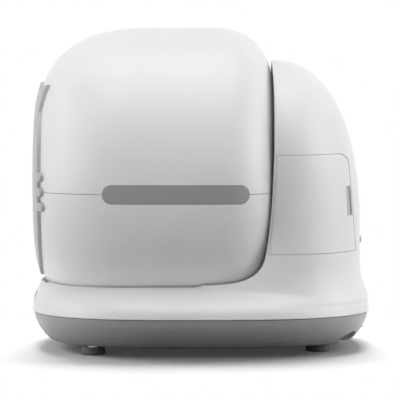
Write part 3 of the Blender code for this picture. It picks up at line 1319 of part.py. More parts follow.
def feet():
    """Rubber feet, each with a spigot up through the pan to its load cell."""
    for name, (x, y) in feet_places().items():
        inner = FOOT_RADIUS - FOOT_CHAMFER
        top = PAN_FLOOR_Z
        profile = [
            (top, 0),
            (top, FOOT_SPIGOT_RADIUS),
            (FOOT_PAD_HEIGHT, FOOT_SPIGOT_RADIUS),
            (FOOT_PAD_HEIGHT, FOOT_RADIUS),
            (FOOT_CHAMFER, FOOT_RADIUS),
            (0, inner),
            (0, 0),
        ]
        smooth(turned(f"foot_{name}", profile, RUBBER, (x, y, 0), SHAFT_SIDES, upright=True))
        low = (x - CELL_LENGTH / 2, y - CELL_WIDTH / 2, PAN_FLOOR_Z + GAP)
        high = (x + CELL_LENGTH / 2, y + CELL_WIDTH / 2, PAN_FLOOR_Z + GAP + CELL_HEIGHT)
        box(f"load_cell_{name}", low, high, STEEL)


def power_inlet():
    """A round low-voltage socket in the pan's rear."""
    rear = HALF_LENGTH * PAN_SHARES[2][1]
    half = INLET_WIDTH / 2
    tall = INLET_HEIGHT / 2
    low = (-half, rear - INLET_DEPTH, INLET_Z - tall)
    inlet = box("power_inlet", low, (half, rear, INLET_Z + tall), BLACK)
    start = rear - INLET_BORE_DEPTH
    cut(inlet, rod("inlet_bore", 0, INLET_Z, start, rear + OVERRUN, INLET_BORE_RADIUS, BUTTON_SIDES))


def carry(name, place, members):
    """Hangs one body's pieces on an empty that lies on the body's joint axis."""
    axis = bpy.data.objects.new(name, None)
    bpy.data.collections[COLLECTION].objects.link(axis)
    axis.location = place
    for member in members:
        piece = bpy.data.objects[member]
        piece.parent = axis
        piece.matrix_parent_inverse = Matrix.Translation(place).inverted()


def joints():
    """One empty for each body that moves, on its own axis."""
    drum = ["drum_upper_shell", "drum_lower_shell", "drum_rear_plate", "ring_gear", "drum_hub"]
    drum += ["hub_retainer", "entrance_ring", "litter_sieve", "release_bar_left", "release_bar_right"]
    carry("drum_axis", (0, DRUM_REAR_Y, DRUM_AXIS_Z), drum)
    carry("pinion_axis", (0, GEAR_FRONT_Y, PINION_Z), ["drive_pinion"])
    carry("roller_left_axis", (-ROLLER_X, ROLLER_Y, ROLLER_Z), ["roller_left"])
    carry("roller_right_axis", (ROLLER_X, ROLLER_Y, ROLLER_Z), ["roller_right"])
    drawer = ["waste_bin", "bag_frame", "drawer_front", "drawer_grip"]
    carry("drawer_axis", (0, (BIN_FRONT_Y + BIN_REAR_Y) / 2, BIN_BOTTOM_Z), drawer)


def build():
    clear_scene()
    new_collection(COLLECTION)
    new_collection("cutters")
    base_pan()
    body_shell()
    feet()
    power_inlet()
    bulkhead()
    hub_bearing()
    motor_bracket()
    drive_motor()
    waste_chute()
    bin_shelf()
    control_panel()
    support_rollers()
    drum_shells()
    rear_plate()
    drum_hub()
    hub_retainer()
    ring_gear()
    litter_sieve()
    entrance_ring()
    release_bars()
    drive_pinion()
    rear_button()
    waste_bin()
    bag_frame()
    drawer_front()
    drawer_grip()
    joints()


build()
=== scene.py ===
"""Looks of a self cleaning litter box: a drum in a pillow-shaped base, and a waste drawer in its tower."""

import math

import bmesh
import bpy
import numpy as np
from mathutils import Matrix, Vector


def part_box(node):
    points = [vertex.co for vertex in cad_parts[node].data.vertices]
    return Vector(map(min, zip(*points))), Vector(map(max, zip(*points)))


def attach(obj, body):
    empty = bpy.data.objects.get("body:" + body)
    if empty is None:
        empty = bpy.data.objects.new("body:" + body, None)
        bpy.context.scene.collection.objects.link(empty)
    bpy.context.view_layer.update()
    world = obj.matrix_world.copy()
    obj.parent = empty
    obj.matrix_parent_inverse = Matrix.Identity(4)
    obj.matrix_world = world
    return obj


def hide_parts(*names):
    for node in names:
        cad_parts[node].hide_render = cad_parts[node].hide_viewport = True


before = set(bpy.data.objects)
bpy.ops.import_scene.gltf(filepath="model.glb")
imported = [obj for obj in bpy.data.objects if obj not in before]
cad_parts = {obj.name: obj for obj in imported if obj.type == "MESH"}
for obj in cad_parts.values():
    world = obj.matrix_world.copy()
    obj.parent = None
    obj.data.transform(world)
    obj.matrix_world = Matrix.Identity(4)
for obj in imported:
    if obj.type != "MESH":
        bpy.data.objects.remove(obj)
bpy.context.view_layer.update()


# Pan: the grey tray under everything, moulded in a filled plastic with a fine leathery grain.
# Four rubber feet plug into it, and two arched recesses at its rear take the fingers that lift it.
WIDE_Y, BASE_REAR_POWER, BASE_FRONT_POWER = -0.03, 2.8, 2.7
BASE_HALF_WIDTH = 0.269
BASE_HALF_LENGTH = 0.292
PAN_BOTTOM, PAN_TOP = 0.0165, 0.0652
PAN_UP = (0, 0.2, 0.48, 0.78, 1)
PAN_SHARE = (0.898, 0.934, 0.966, 0.986, 0.9925)
PAN_EDGE, PAN_WALL, PAN_ROOM_REAR, PAN_ROOM_TOP = 0.0016, 0.003, 0.2295, 0.1
PLINTH_BOTTOM, PLINTH_IN, PLINTH_EDGE, PLINTH_LAP = 0.0113, 0.045, 0.0008, 0.002
HANDHOLD_X, HANDHOLD_HALF, HANDHOLD_TOP, HANDHOLD_LOW, HANDHOLD_FRONT = 0.132, 0.032, 0.035, -0.02, 0.2345
SOCKET_Z, SOCKET_HALF_WIDTH, SOCKET_HALF_HEIGHT = 0.036, 0.0073, 0.0063
SOCKET_FRONT, SOCKET_REAR = 0.265, 0.31
SHARP_ANGLE = 32
# Forms that cut run out past the object, as far as this across it and along it.
FAR_X, FAR_Y = 0.3, 0.32


def through(places, values, at):
    """A smooth curve through given values: one cubic between each two, with slopes that never overshoot."""
    places, values, at = (np.asarray(a, float) for a in (places, values, at))
    step = np.diff(places)
    rise = np.diff(values) / step
    both = rise[:-1] + rise[1:]
    mean = 2 * rise[:-1] * rise[1:] / np.where(np.abs(both) < 1e-12, 1, both)
    slope = np.concatenate([rise[:1], np.where(rise[:-1] * rise[1:] > 0, mean, 0), rise[-1:]])
    i = np.clip(np.searchsorted(places, at, side="right") - 1, 0, len(step) - 1)
    t = (at - places[i]) / step[i]
    left = values[i] * (1 + 2 * t) * (1 - t) ** 2 + slope[i] * step[i] * t * (1 - t) ** 2
    right = values[i + 1] * t**2 * (3 - 2 * t) + slope[i + 1] * step[i] * t**2 * (t - 1)
    return left + right


def signed_power(value, exponent):
    """The size of a value raised to a power, with the value's own sign."""
    return np.sign(value) * np.abs(value) ** exponent


def base_ring(share, inset, columns=240):
    """The base in plan: one superellipse ahead of the widest line and one behind it.

    Its x and y run as the cosine and the sine of an angle, each raised to a power."""
    angle = np.linspace(0, 2 * math.pi, columns, endpoint=False)
    rear = np.sin(angle) > 0
    power = 2 / np.where(rear, BASE_REAR_POWER, BASE_FRONT_POWER)
    length = share[:, None] * BASE_HALF_LENGTH - inset[:, None]
    width = share[:, None] * BASE_HALF_WIDTH - inset[:, None]
    x = width * signed_power(np.cos(angle), power)
    y = WIDE_Y + (length + np.where(rear, -WIDE_Y, WIDE_Y)) * signed_power(np.sin(angle), power)
    return x, y


def stack(x, y, z):
    """Rows of points from arrays that broadcast together."""
    x, y, z = np.broadcast_arrays(x, y, z)
    return np.stack([x, y, z], axis=-1)


def solid(name, rows, ring=False):
    """A closed mesh over a grid of points: each four neighbours make a face, and the columns close round.

    Its two end rows are filled, or in a ring the last row meets the first."""
    count, columns = rows.shape[:2]
    index = np.arange(count * columns).reshape(count, columns)
    lower, upper = (index, np.roll(index, -1, 0)) if ring else (index[:-1], index[1:])
    quads = np.stack([lower, np.roll(lower, -1, 1), np.roll(upper, -1, 1), upper], axis=-1).reshape(-1, 4)
    ends = [] if ring else [index[0][::-1].tolist(), index[-1].tolist()]
    mesh = bpy.data.meshes.new(name)
    mesh.from_pydata(rows.reshape(-1, 3), [], quads.tolist() + ends)
    work = bmesh.new()
    work.from_mesh(mesh)
    bmesh.ops.recalc_face_normals(work, faces=work.faces)
    work.to_mesh(mesh)
    work.free()
    thing = bpy.data.objects.new(name, mesh)
    bpy.context.scene.collection.objects.link(thing)
    return thing


def prism(name, outline, start, end, axis):
    """A flat outline carried along X, Y or Z: two rows of the same points, one at each end."""
    across, up = np.asarray(outline, float).T
    along = np.array([[start], [end]], float)
    orders = {"X": (along, across, up), "Y": (across, along, up), "Z": (across, up, along)}
    return solid(name, stack(*orders[axis]))


def arc(centre, radius, start, end, steps):
    """Points of a circle at equal steps between two angles in degrees."""
    angle = np.radians(np.linspace(start, end, steps + 1))
    return np.stack([centre[0] + radius * np.cos(angle), centre[1] + radius * np.sin(angle)], axis=-1)


def slab(name, low, high):
    """A block between two corners."""
    outline = [(low[0], low[1]), (high[0], low[1]), (high[0], high[1]), (low[0], high[1])]
    return prism(name, outline, low[2], high[2], "Z")


def join(thing, tool, operation="DIFFERENCE", keep_tool=False):
    """Cuts one closed solid by another, unites them or keeps what they share, and keeps only the result."""
    change = thing.modifiers.new("join", "BOOLEAN")
    change.operation = operation
    change.object = tool
    change.solver = "MANIFOLD"
    made = bpy.data.meshes.new_from_object(thing.evaluated_get(bpy.context.evaluated_depsgraph_get()))
    thing.modifiers.clear()
    thing.data = made
    if not keep_tool:
        bpy.data.objects.remove(tool)
    return thing


def piece(thing, material, body, node):
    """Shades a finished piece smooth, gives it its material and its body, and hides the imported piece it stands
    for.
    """
    thing.data.materials.clear()
    thing.data.materials.append(material)
    thing.data.shade_smooth()
    thing.data.set_sharp_from_angle(angle=math.radians(SHARP_ANGLE))
    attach(thing, body)
    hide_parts(node)


def moulded(name, colour, roughness, grain=0.00003, grain_scale=700, specular=0.5):
    """Moulded plastic: a slow drift of tone, patches of other gloss, a fine tool grain and a faint waviness."""
    material = bpy.data.materials.new(name)
    material.use_nodes = True
    nodes, links = material.node_tree.nodes, material.node_tree.links
    shader = nodes["Principled BSDF"]
    place = nodes.new("ShaderNodeTexCoord")
    tone, gloss, fine, wave = (nodes.new("ShaderNodeTexNoise") for _ in range(4))
    for noise, scale, detail in ((tone, 7, 3), (gloss, 26, 4), (fine, grain_scale, 2), (wave, 55, 1)):
        noise.inputs["Scale"].default_value = scale
        noise.inputs["Detail"].default_value = detail
        links.new(place.outputs["Object"], noise.inputs["Vector"])
    shade = nodes.new("ShaderNodeValToRGB")
    for element, level in zip(shade.color_ramp.elements, (0.965, 1.02)):
        element.color = (*[min(1, channel * level) for channel in colour], 1)
    shade.color_ramp.elements[0].position = 0.3
    shade.color_ramp.elements[1].position = 0.7
    links.new(tone.outputs["Fac"], shade.inputs["Fac"])
    links.new(shade.outputs["Color"], shader.inputs["Base Color"])
    spread = nodes.new("ShaderNodeMapRange")
    spread.inputs["To Min"].default_value = roughness - 0.05
    spread.inputs["To Max"].default_value = roughness + 0.05
    links.new(gloss.outputs["Fac"], spread.inputs["Value"])
    links.new(spread.outputs["Result"], shader.inputs["Roughness"])
    slow, quick = nodes.new("ShaderNodeBump"), nodes.new("ShaderNodeBump")
    slow.inputs["Distance"].default_value = 0.00006
    quick.inputs["Distance"].default_value = grain
    links.new(wave.outputs["Fac"], slow.inputs["Height"])
    links.new(fine.outputs["Fac"], quick.inputs["Height"])
    links.new(slow.outputs["Normal"], quick.inputs["Normal"])
    links.new(quick.outputs["Normal"], shader.inputs["Normal"])
    shader.inputs["Specular IOR Level"].default_value = specular
    return material


def pan_form():
    """Rings of the base's plan, widened up the side by a curve through five shares, both edges rounded."""
    turn = np.radians(np.linspace(0, 90, 6))
    z = np.concatenate([
        PAN_BOTTOM + 2 * PAN_EDGE * (1 - np.cos(turn)),
        np.linspace(PAN_BOTTOM + 3 * PAN_EDGE, PAN_TOP - 2 * PAN_EDGE, 24),
        PAN_TOP - PAN_EDGE * (1 - np.sin(turn)),
    ])
    up = (z - PAN_BOTTOM) / (PAN_TOP - PAN_BOTTOM)
    share = through(PAN_UP, PAN_SHARE, up)
    low = np.clip(1 - (z - PAN_BOTTOM) / (2 * PAN_EDGE), 0, 1)
    high = np.clip(1 - (PAN_TOP - z) / PAN_EDGE, 0, 1)
    inset = 2 * PAN_EDGE * (1 - np.sqrt(1 - low**2)) + PAN_EDGE * (1 - np.sqrt(1 - high**2))
    x, y = base_ring(share, inset)
    return solid("pan", stack(x, y, z[:, None]))


def pan_room():
    """The tray's inside: the same rings drawn in by the wall, from its floor to above its rim.

    Only what lies ahead of the hand-holds is kept of it."""
    z = np.linspace(PAN_BOTTOM + PAN_WALL, PAN_TOP + PAN_WALL, 24)
    share = through(PAN_UP, PAN_SHARE, np.minimum((z - PAN_BOTTOM) / (PAN_TOP - PAN_BOTTOM), 1))
    x, y = base_ring(share, np.full(len(z), PAN_WALL))
    room = solid("pan_room", stack(x, y, z[:, None]))
    front = slab("room_front", (-FAR_X, -FAR_Y, 0), (FAR_X, PAN_ROOM_REAR, PAN_ROOM_TOP))
    return join(room, front, "INTERSECT")


def pan_plinth():
    """A shallow foot under the tray's middle: three rings of its lowest outline, drawn far in."""
    z = np.array([PLINTH_BOTTOM, PLINTH_BOTTOM + PLINTH_EDGE, PAN_BOTTOM + PLINTH_LAP])
    share = np.full(3, PAN_SHARE[0])
    x, y = base_ring(share, PLINTH_IN + np.array([PLINTH_EDGE, 0, 0]))
    return solid("pan_plinth", stack(x, y, z[:, None]))


pan = join(pan_form(), pan_plinth(), "UNION")
join(pan, pan_room())
for side in (1, -1):
    middle = side * HANDHOLD_X
    arch = arc((0, 0), 1, 0, 180, 40) * (HANDHOLD_HALF, HANDHOLD_TOP - PAN_BOTTOM) + (middle, PAN_BOTTOM)
    feet_of_arch = [(middle - HANDHOLD_HALF, HANDHOLD_LOW), (middle + HANDHOLD_HALF, HANDHOLD_LOW)]
    join(pan, prism("hand_hold", np.concatenate([arch, feet_of_arch]), HANDHOLD_FRONT, FAR_Y, "Y"))
socket_low = (-SOCKET_HALF_WIDTH, SOCKET_FRONT, SOCKET_Z - SOCKET_HALF_HEIGHT)
socket_high = (SOCKET_HALF_WIDTH, SOCKET_REAR, SOCKET_Z + SOCKET_HALF_HEIGHT)
join(pan, slab("socket_hole", socket_low, socket_high))
pan_plastic = moulded("pan_plastic", (0.375, 0.379, 0.389), 0.42, grain=0.00006, grain_scale=520)
piece(pan, pan_plastic, "base", "base_pan")


# Body: one white satin moulding. The pillow sweeps up beside the drum into an arched tower behind it,
# the drum's well hangs inside, and openings are left for the drawer's panel, the keys and the two rollers.
BODY_BOTTOM, RIM, BODY_EDGE = 0.0658, 0.1166, 0.0016
WALL = 0.003
CROWN_UP = (0, 0.22, 0.49, 0.70, 0.88, 1, 1.05)
CROWN_LENGTH = (1, 0.994, 0.986, 0.971, 0.954, 0.938, 0.80)
CROWN_WIDTH = (1, 0.990, 0.955, 0.895, 0.805, 0.72, 0.45)
DOME_SHARE, DOME_STEP, HOLLOW_LOW = (0.012, 0.024, 0.036), 0.003, 0.02
TOWER_MIDDLE, TOWER_REAR, TOWER_FRONT = 0.123, 0.2765, -0.012
TOWER_HALF_WIDTH, TOWER_TOP, TOWER_FOOT, FOOT_SLOPE = 0.218, 0.4955, 0.0885, 1.5
TOWER_WIDE_Z, TOWER_DEEP_Z, FLARE_TOP = 0.29, 0.20, 0.150
ARCH_POWER, LEAN_POWER, TOWER_POWER = 2.2, 2.3, 2.3
NARROWING, NARROWING_LENGTH = 0.125, 0.090
FLARE_REAR, FLARE_SIDE, FILLET = 0.0115, 0.014, 0.012
LIP_Y = (
    0, 0.018, 0.035, 0.0526, 0.0724, 0.0832, 0.0956, 0.1030,
    0.1080, 0.1112, 0.1147, 0.1194, 0.1220, 0.1240, 0.1245, 0.1229,
)
LIP_Z = (
    0.1191, 0.1198, 0.1211, 0.1230, 0.1273, 0.1324, 0.1410, 0.1510,
    0.1640, 0.1810, 0.2060, 0.2541, 0.2998, 0.3502, 0.4296, 0.4955,
)
LIP_AHEAD, LIP_BEHIND = 0.30, 0.12
LIP_ROUND, ROUND_FROM, ROUND_RISE = 0.0038, 0.125, 0.02
LIP_DRAW, DRAW_FROM, DRAW_TO, DRAW_LOW, DRAW_RISE = 0.05, -0.005, 0.060, 0.14, 0.06
LIP_CUT_FRONT, LIP_CUT_SIDE = -0.02, 0.26
AXIS_Z, DRUM_RADIUS, DRUM_STEPS = 0.2905, 0.2616, 48
NOSE_MIDDLE, NOSE_DEPTH, NOSE_RADIUS, NOSE_POWER = -0.0713, 0.2128, 0.0785, 2.7
SHOULDER_MIDDLE, SHOULDER_DEPTH, SHOULDER_RADIUS, SHOULDER_POWER = 0.0246, 0.1003, 0.150, 2.25
CLEARANCE, WELL_WALL, WELL_REAR_RADIUS, WELL_SLIVER = 0.003, 0.0025, 0.198, 0.001
RING_THICK, RING_ROOM, EAR_TIP = 0.0052, 0.001, 0.197
BULKHEAD_FRONT, BULKHEAD_REAR = 0.134, 0.138
HOLLOW_FRONT, HOLLOW_LAP, FAR_Z = 0.01, 0.0004, 0.53
PANEL_BOTTOM, PANEL_TOP, PANEL_INNER, PANEL_OUTER = 0.172, 0.340, 0.075, 0.25
PANEL_REAR_BOTTOM, PANEL_REAR_TOP, PANEL_CORNER, PANEL_BEHIND_LIP = 0.2664, 0.2537, 0.022, 0.0040
KEY_Z, BEZEL_HOLE, BEZEL_HOLE_REAR = 0.088, (0.1306, 0.0206), -0.275
REAR_KEY_Z, REAR_KEY_RADIUS, REAR_KEY_FROM, REAR_KEY_TO = 0.184, 0.0058, 0.24, 0.30
SEAM, ROLLER_ROOM = 0.0003, 0.0015


def reach(level, directions):
    """How far each direction runs from the tower's middle until an outline's level passes one, by halving."""
    low = np.zeros(directions)
    high = np.full(directions, 2 * FAR_X)
    for _ in range(34):
        middle = (low + high) / 2
        inside = level(middle) < 1
        low, high = np.where(inside, middle, low), np.where(inside, high, middle)
    return low


def pillow_reach(z, angle, inset):
    """The pillow's outline from the tower's middle: its x and y shares, each to a power, add up to one."""
    up = (z - BODY_BOTTOM) / (RIM - inset - BODY_BOTTOM)
    width = through(CROWN_UP, CROWN_WIDTH, up) * BASE_HALF_WIDTH - inset
    length = through(CROWN_UP, CROWN_LENGTH, up) * BASE_HALF_LENGTH - inset

    def level(distance):
        y = TOWER_MIDDLE + distance * np.sin(angle) - WIDE_Y
        exponent = np.where(y > 0, BASE_REAR_POWER, BASE_FRONT_POWER)
        extent = length + np.where(y > 0, -WIDE_Y, WIDE_Y)
        return np.abs(distance * np.cos(angle) / width) ** exponent + np.abs(y / extent) ** exponent

    return reach(level, np.broadcast(z, angle).shape)


def tower_reach(z, angle, inset):
    """The tower's outline: a superellipse behind its middle, with sides ahead that narrow towards the lip.

    It is arched across, leant back to the top and flared at the foot. Its sides draw in again at the lip."""
    top = TOWER_TOP - inset
    arch = np.clip((z - TOWER_WIDE_Z) / (top - TOWER_WIDE_Z), 0, 1)
    lean = np.clip((z - TOWER_DEEP_Z) / (top - TOWER_DEEP_Z), 0, 1)
    flare = np.clip((FLARE_TOP - np.maximum(z, TOWER_FOOT)) / (FLARE_TOP - TOWER_FOOT), 0, 1) ** 2
    width = TOWER_HALF_WIDTH - inset
    width = width * (1 - arch**ARCH_POWER) ** (1 / ARCH_POWER) + FLARE_SIDE * flare + 1e-6
    depth = TOWER_REAR - TOWER_MIDDLE - inset
    depth = depth * (1 - lean**LEAN_POWER) ** (1 / LEAN_POWER) + FLARE_REAR * flare + 1e-6

    def level(distance):
        x, y = distance * np.cos(angle), distance * np.sin(angle)
        drawn = 1 - np.clip((y - DRAW_FROM) / (DRAW_TO - DRAW_FROM), 0, 1)
        x = x / (1 - LIP_DRAW * np.clip((z - DRAW_LOW) / DRAW_RISE, 0, 1) * drawn**2)
        behind = np.abs(x / width) ** TOWER_POWER + np.abs(y / depth) ** TOWER_POWER
        along = np.clip((TOWER_MIDDLE + y - TOWER_FRONT) / NARROWING_LENGTH, 0, 1)
        narrowed = width * (1 - NARROWING * (1 - along) ** 2)
        ahead = np.maximum(np.abs(x) / narrowed, -y / (TOWER_MIDDLE - TOWER_FRONT))
        return np.where(y > 0, behind, ahead)

    return reach(level, np.broadcast(z, angle).shape) - FOOT_SLOPE * np.maximum(TOWER_FOOT - z, 0)


def body_form(name, inset, columns):
    """Pillow and tower in one: in each direction the longer of their reaches, eased where they are near.

    The outer form has a quarter round at its foot and another along the lip's outer edge. A form that is drawn
    in by an inset has neither, and its foot runs on below the body."""
    turn = np.linspace(0, math.pi / 2, 6)
    edge = BODY_BOTTOM + BODY_EDGE * (1 - np.cos(turn))
    crown = BODY_BOTTOM + (RIM - BODY_BOTTOM) * np.sin(np.linspace(0.05, 1, 30) * math.pi / 2)
    crown = crown - inset * (crown - BODY_BOTTOM) / (RIM - BODY_BOTTOM)
    dome = RIM - inset + (RIM - BODY_BOTTOM) * np.array(DOME_SHARE)
    low = np.linspace(dome[-1] + DOME_STEP, TOWER_WIDE_Z, 22)
    rise = np.sin(np.linspace(2, 89.2, 34) * math.pi / 180) ** (2 / ARCH_POWER)
    arch = TOWER_WIDE_Z + (TOWER_TOP - inset - TOWER_WIDE_Z) * rise
    z = np.concatenate([edge, crown, dome, low, arch])[:, None]
    near_lip = np.linspace(-LIP_AHEAD, LIP_BEHIND, 61)
    behind = np.linspace(LIP_BEHIND, math.pi - LIP_BEHIND, columns // 3)[1:-1]
    ahead = np.linspace(math.pi + LIP_AHEAD, 2 * math.pi - LIP_AHEAD, columns // 3)[1:-1]
    angle = np.concatenate([near_lip, behind, math.pi - near_lip[::-1], ahead])[None, :]
    pillow = np.where(z < dome[-1] + 1e-6, pillow_reach(np.minimum(z, dome[-1]), angle, inset), 0)
    tower = tower_reach(z, angle, inset)
    near = np.clip(FILLET - np.abs(pillow - tower), 0, None) / FILLET
    distance = np.maximum(pillow, tower) + near**2 * FILLET / 4
    if inset:
        z[0] = BODY_BOTTOM - HOLLOW_LOW
    else:
        distance[: len(edge)] -= (BODY_EDGE * (1 - np.sin(turn)))[:, None]
        past = TOWER_MIDDLE + distance * np.sin(angle) - np.interp(z, LIP_Z, LIP_Y)
        drop = 1 - np.sqrt(1 - (1 - np.clip(past / LIP_ROUND, 0, 1)) ** 2)
        at_sides = np.clip((z - ROUND_FROM) / ROUND_RISE, 0, 1) * (np.abs(np.sin(angle)) < 0.5)
        distance = distance - LIP_ROUND * drop * at_sides
    return solid(name, stack(distance * np.cos(angle), TOWER_MIDDLE + distance * np.sin(angle), z))


def drum_curve(offset, from_radius, to_radius, steps=DRUM_STEPS):
    """The drum in side view, as (along, radius): a superellipse from mouth to widest, another to the rear."""
    depth, height = NOSE_DEPTH + offset, DRUM_RADIUS - NOSE_RADIUS + offset
    start = math.asin((max(0, from_radius - NOSE_RADIUS) / height) ** (NOSE_POWER / 2))
    angle = np.linspace(start, math.pi / 2, steps)
    along = NOSE_MIDDLE - depth * np.cos(angle) ** (2 / NOSE_POWER)
    front = np.stack([along, NOSE_RADIUS + height * np.sin(angle) ** (2 / NOSE_POWER)], -1)
    depth, height = SHOULDER_DEPTH + offset, DRUM_RADIUS - SHOULDER_RADIUS + offset
    end = math.acos(min(1, (to_radius - SHOULDER_RADIUS) / height) ** (SHOULDER_POWER / 2))
    angle = np.linspace(0, end, steps)
    along = SHOULDER_MIDDLE + depth * np.sin(angle) ** (2 / SHOULDER_POWER)
    radius = SHOULDER_RADIUS + height * np.abs(np.cos(angle)) ** (2 / SHOULDER_POWER)
    return np.concatenate([front, np.stack([along, radius], -1)])


def turned(name, profile, sides=224, ring=False, axis_z=AXIS_Z):
    """A profile of (along, radius) points swept round the level axis; a ring's profile meets itself."""
    along, radius = np.asarray(profile, float).T
    angle = np.linspace(0, 2 * math.pi, sides, endpoint=False)[None, :]
    rows = stack(radius[:, None] * np.cos(angle), along[:, None], axis_z + radius[:, None] * np.sin(angle))
    return solid(name, rows, ring)


def well_form(name, offset, end):
    """The drum's room grown by an offset: the drum's own curve, and one further out ahead of the ears' tips.

    The step between them leaves room for the entrance ring."""
    extra = offset - CLEARANCE
    radius, step = WELL_REAR_RADIUS + extra, EAR_TIP + RING_ROOM + extra
    nose = drum_curve(RING_THICK + RING_ROOM + extra, 0, radius)[1:DRUM_STEPS]
    nose = nose[nose[:, 1] < step - WELL_SLIVER]
    corner = drum_curve(RING_THICK + RING_ROOM + extra, step, radius)[:1]
    profile = np.concatenate([nose, corner, drum_curve(offset, step, radius), [(end, radius)]])
    return turned(name, profile, 192)


def lip_line(steps=120):
    """The tower's lip in side view: two smooth curves of the distance along it, one for y and one for z."""
    places = np.concatenate([[0], np.cumsum(np.hypot(np.diff(LIP_Y), np.diff(LIP_Z)))])
    at = np.linspace(0, places[-1], steps)
    return np.stack([through(places, LIP_Y, at), through(places, LIP_Z, at)], -1)


def panel_outline(margin):
    """The drawer panel in side view: along the lip ahead, leant in behind, its top corner rounded."""
    top, bottom = PANEL_TOP - margin, PANEL_BOTTOM + margin
    z = np.linspace(top, bottom, 24)
    lip = lip_line()
    front = np.stack([np.interp(z, lip[:, 1], lip[:, 0]) + PANEL_BEHIND_LIP + margin, z], -1)
    corner = arc((PANEL_REAR_TOP - margin - PANEL_CORNER, top - PANEL_CORNER), PANEL_CORNER, 0, 90, 14)
    return np.concatenate([front, [(PANEL_REAR_BOTTOM - margin, bottom)], corner])


def pill(length, height, centre, steps=20):
    """A flat outline with round ends: two half circles of the height, joined by straight runs."""
    half = (length - height) / 2
    right = arc((centre[0] + half, centre[1]), height / 2, -90, 90, steps)
    return np.concatenate([right, arc((centre[0] - half, centre[1]), height / 2, 90, 270, steps)])


body = body_form("body", 0, 300)
lip = lip_line()
above = [(lip[-1, 0], FAR_Z), (LIP_CUT_FRONT, FAR_Z), (LIP_CUT_FRONT, LIP_Z[0])]
join(body, prism("lip_cut", np.concatenate([lip, above]), -LIP_CUT_SIDE, LIP_CUT_SIDE, "X"))
well = well_form("well", CLEARANCE + WELL_WALL, BULKHEAD_FRONT - SEAM)
join(well, slab("well_room", (-FAR_X, -FAR_Y, 0), (FAR_X, BULKHEAD_FRONT, RIM - WALL)), "INTERSECT")
hollow = body_form("hollow", WALL, 200)
front_low = (-FAR_X, HOLLOW_FRONT, RIM - WALL - HOLLOW_LAP)
join(hollow, slab("hollow_front", front_low, (FAR_X, BULKHEAD_FRONT - 2 * SEAM, FAR_Z)))
join(hollow, well, keep_tool=True)
join(body, well, "UNION")
join(body, hollow)
join(body, well_form("drum_space", CLEARANCE, BULKHEAD_REAR))
panel_cut = prism("panel_cut", panel_outline(0), PANEL_INNER, PANEL_OUTER, "X")
landing = body_form("landing", WALL + SEAM, 200)
join(landing, slab("landing_room", (-FAR_X, 0, 0), (FAR_X, BULKHEAD_FRONT - 3 * SEAM, FAR_Z)), "INTERSECT")
join(panel_cut, landing)
join(body, panel_cut)
join(body, prism("bezel_hole", pill(*BEZEL_HOLE, (0, KEY_Z)), -FAR_Y, BEZEL_HOLE_REAR, "Y"))
rear_hole = arc((0, REAR_KEY_Z), REAR_KEY_RADIUS, 0, 352.5, 47)
join(body, prism("button_hole", rear_hole, REAR_KEY_FROM, REAR_KEY_TO, "Y"))
for name in ("roller_left", "roller_right"):
    low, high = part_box(name)
    around = Vector((ROLLER_ROOM, ROLLER_ROOM, ROLLER_ROOM))
    join(body, slab("roller_window", low - around, high + around))
body_plastic = moulded("body_plastic", (0.83, 0.83, 0.835), 0.40)
piece(body, body_plastic, "base", "body_shell")


# Feet: soft black rubber, each pushed into its socket by a spigot, with a ribbed sole against slipping.
# They are small and set well in, so that little more than their edges is seen.
FOOT_PLACES = {
    "front_left": (-0.175, -0.183),
    "front_right": (0.175, -0.183),
    "rear_left": (-0.118, 0.200),
    "rear_right": (0.118, 0.200),
}
SOLE = [(0.0006, 0.0012), (0, 0.004), (0, 0.0148), (0.0008, 0.0152), (0.0008, 0.0164), (0, 0.0168)]
STEM = [(0.0150, 0.0196), (0.0164, 0.0190), (0.0168, 0.0185)]
FOOT_RADIUS, FOOT_EDGE = 0.018, 0.003


def upright(name, place, profile, sides=72):
    """A profile of (height, radius) points swept round an upright line."""
    height, radius = np.asarray(profile, float).T
    angle = np.linspace(0, 2 * math.pi, sides, endpoint=False)[None, :]
    x, y = place[0] + radius[:, None] * np.cos(angle), place[1] + radius[:, None] * np.sin(angle)
    return solid(name, stack(x, y, height[:, None]))


foot_rubber = moulded("foot_rubber", (0.14, 0.143, 0.146), 0.62, grain=0.00015, grain_scale=420, specular=0.3)
for name, place in FOOT_PLACES.items():
    turn = np.radians(np.linspace(0, 90, 8))
    edge = np.stack([FOOT_EDGE * (1 - np.cos(turn)), FOOT_RADIUS + FOOT_EDGE * np.sin(turn)], -1)
    foot = upright(f"foot_{name}", place, np.concatenate([SOLE, edge, STEM]))
    piece(foot, foot_rubber, "base", f"foot_{name}")


# Drum shells: two blown white mouldings of one double-curved form, which meet on a level seam below the axis.
# The wall is thicker behind each release bar, where a pocket is let into both halves.
SEAM_Z, DRUM_WALL, MOUTH_RADIUS, DRUM_REAR_RADIUS, DRUM_REAR = 0.2755, 0.0032, 0.152, 0.150, 0.1249
BAR_MIDDLE, BAR_LENGTH, BAR_HEIGHT, BAR_THICK, BAR_IN = -0.042, 0.246, 0.031, 0.003, 0.0001
BAR_NEAR, BAR_FAR = 0.15, 0.29
POCKET_RIM, POCKET_ROOM, POCKET_FLOOR, POCKET_BACK = 0.003, 0.0006, 0.0063, 0.0093
HALF_GAP, HALF_HEIGHT, HALF_REAR = 0.0004, 0.4, 0.2


def drum_block(name, offset):
    """The drum's side curve, grown by an offset, swept round the level axis and filled."""
    return turned(name, drum_curve(offset, MOUTH_RADIUS, DRUM_REAR_RADIUS))


def bar_prism(name, side, margin):
    """A release bar's outline, grown by a margin, carried out through one side of the drum."""
    outline = pill(BAR_LENGTH + 2 * margin, BAR_HEIGHT + 2 * margin, (BAR_MIDDLE, SEAM_Z))
    return prism(name, outline, side * BAR_NEAR, side * BAR_FAR, "X")


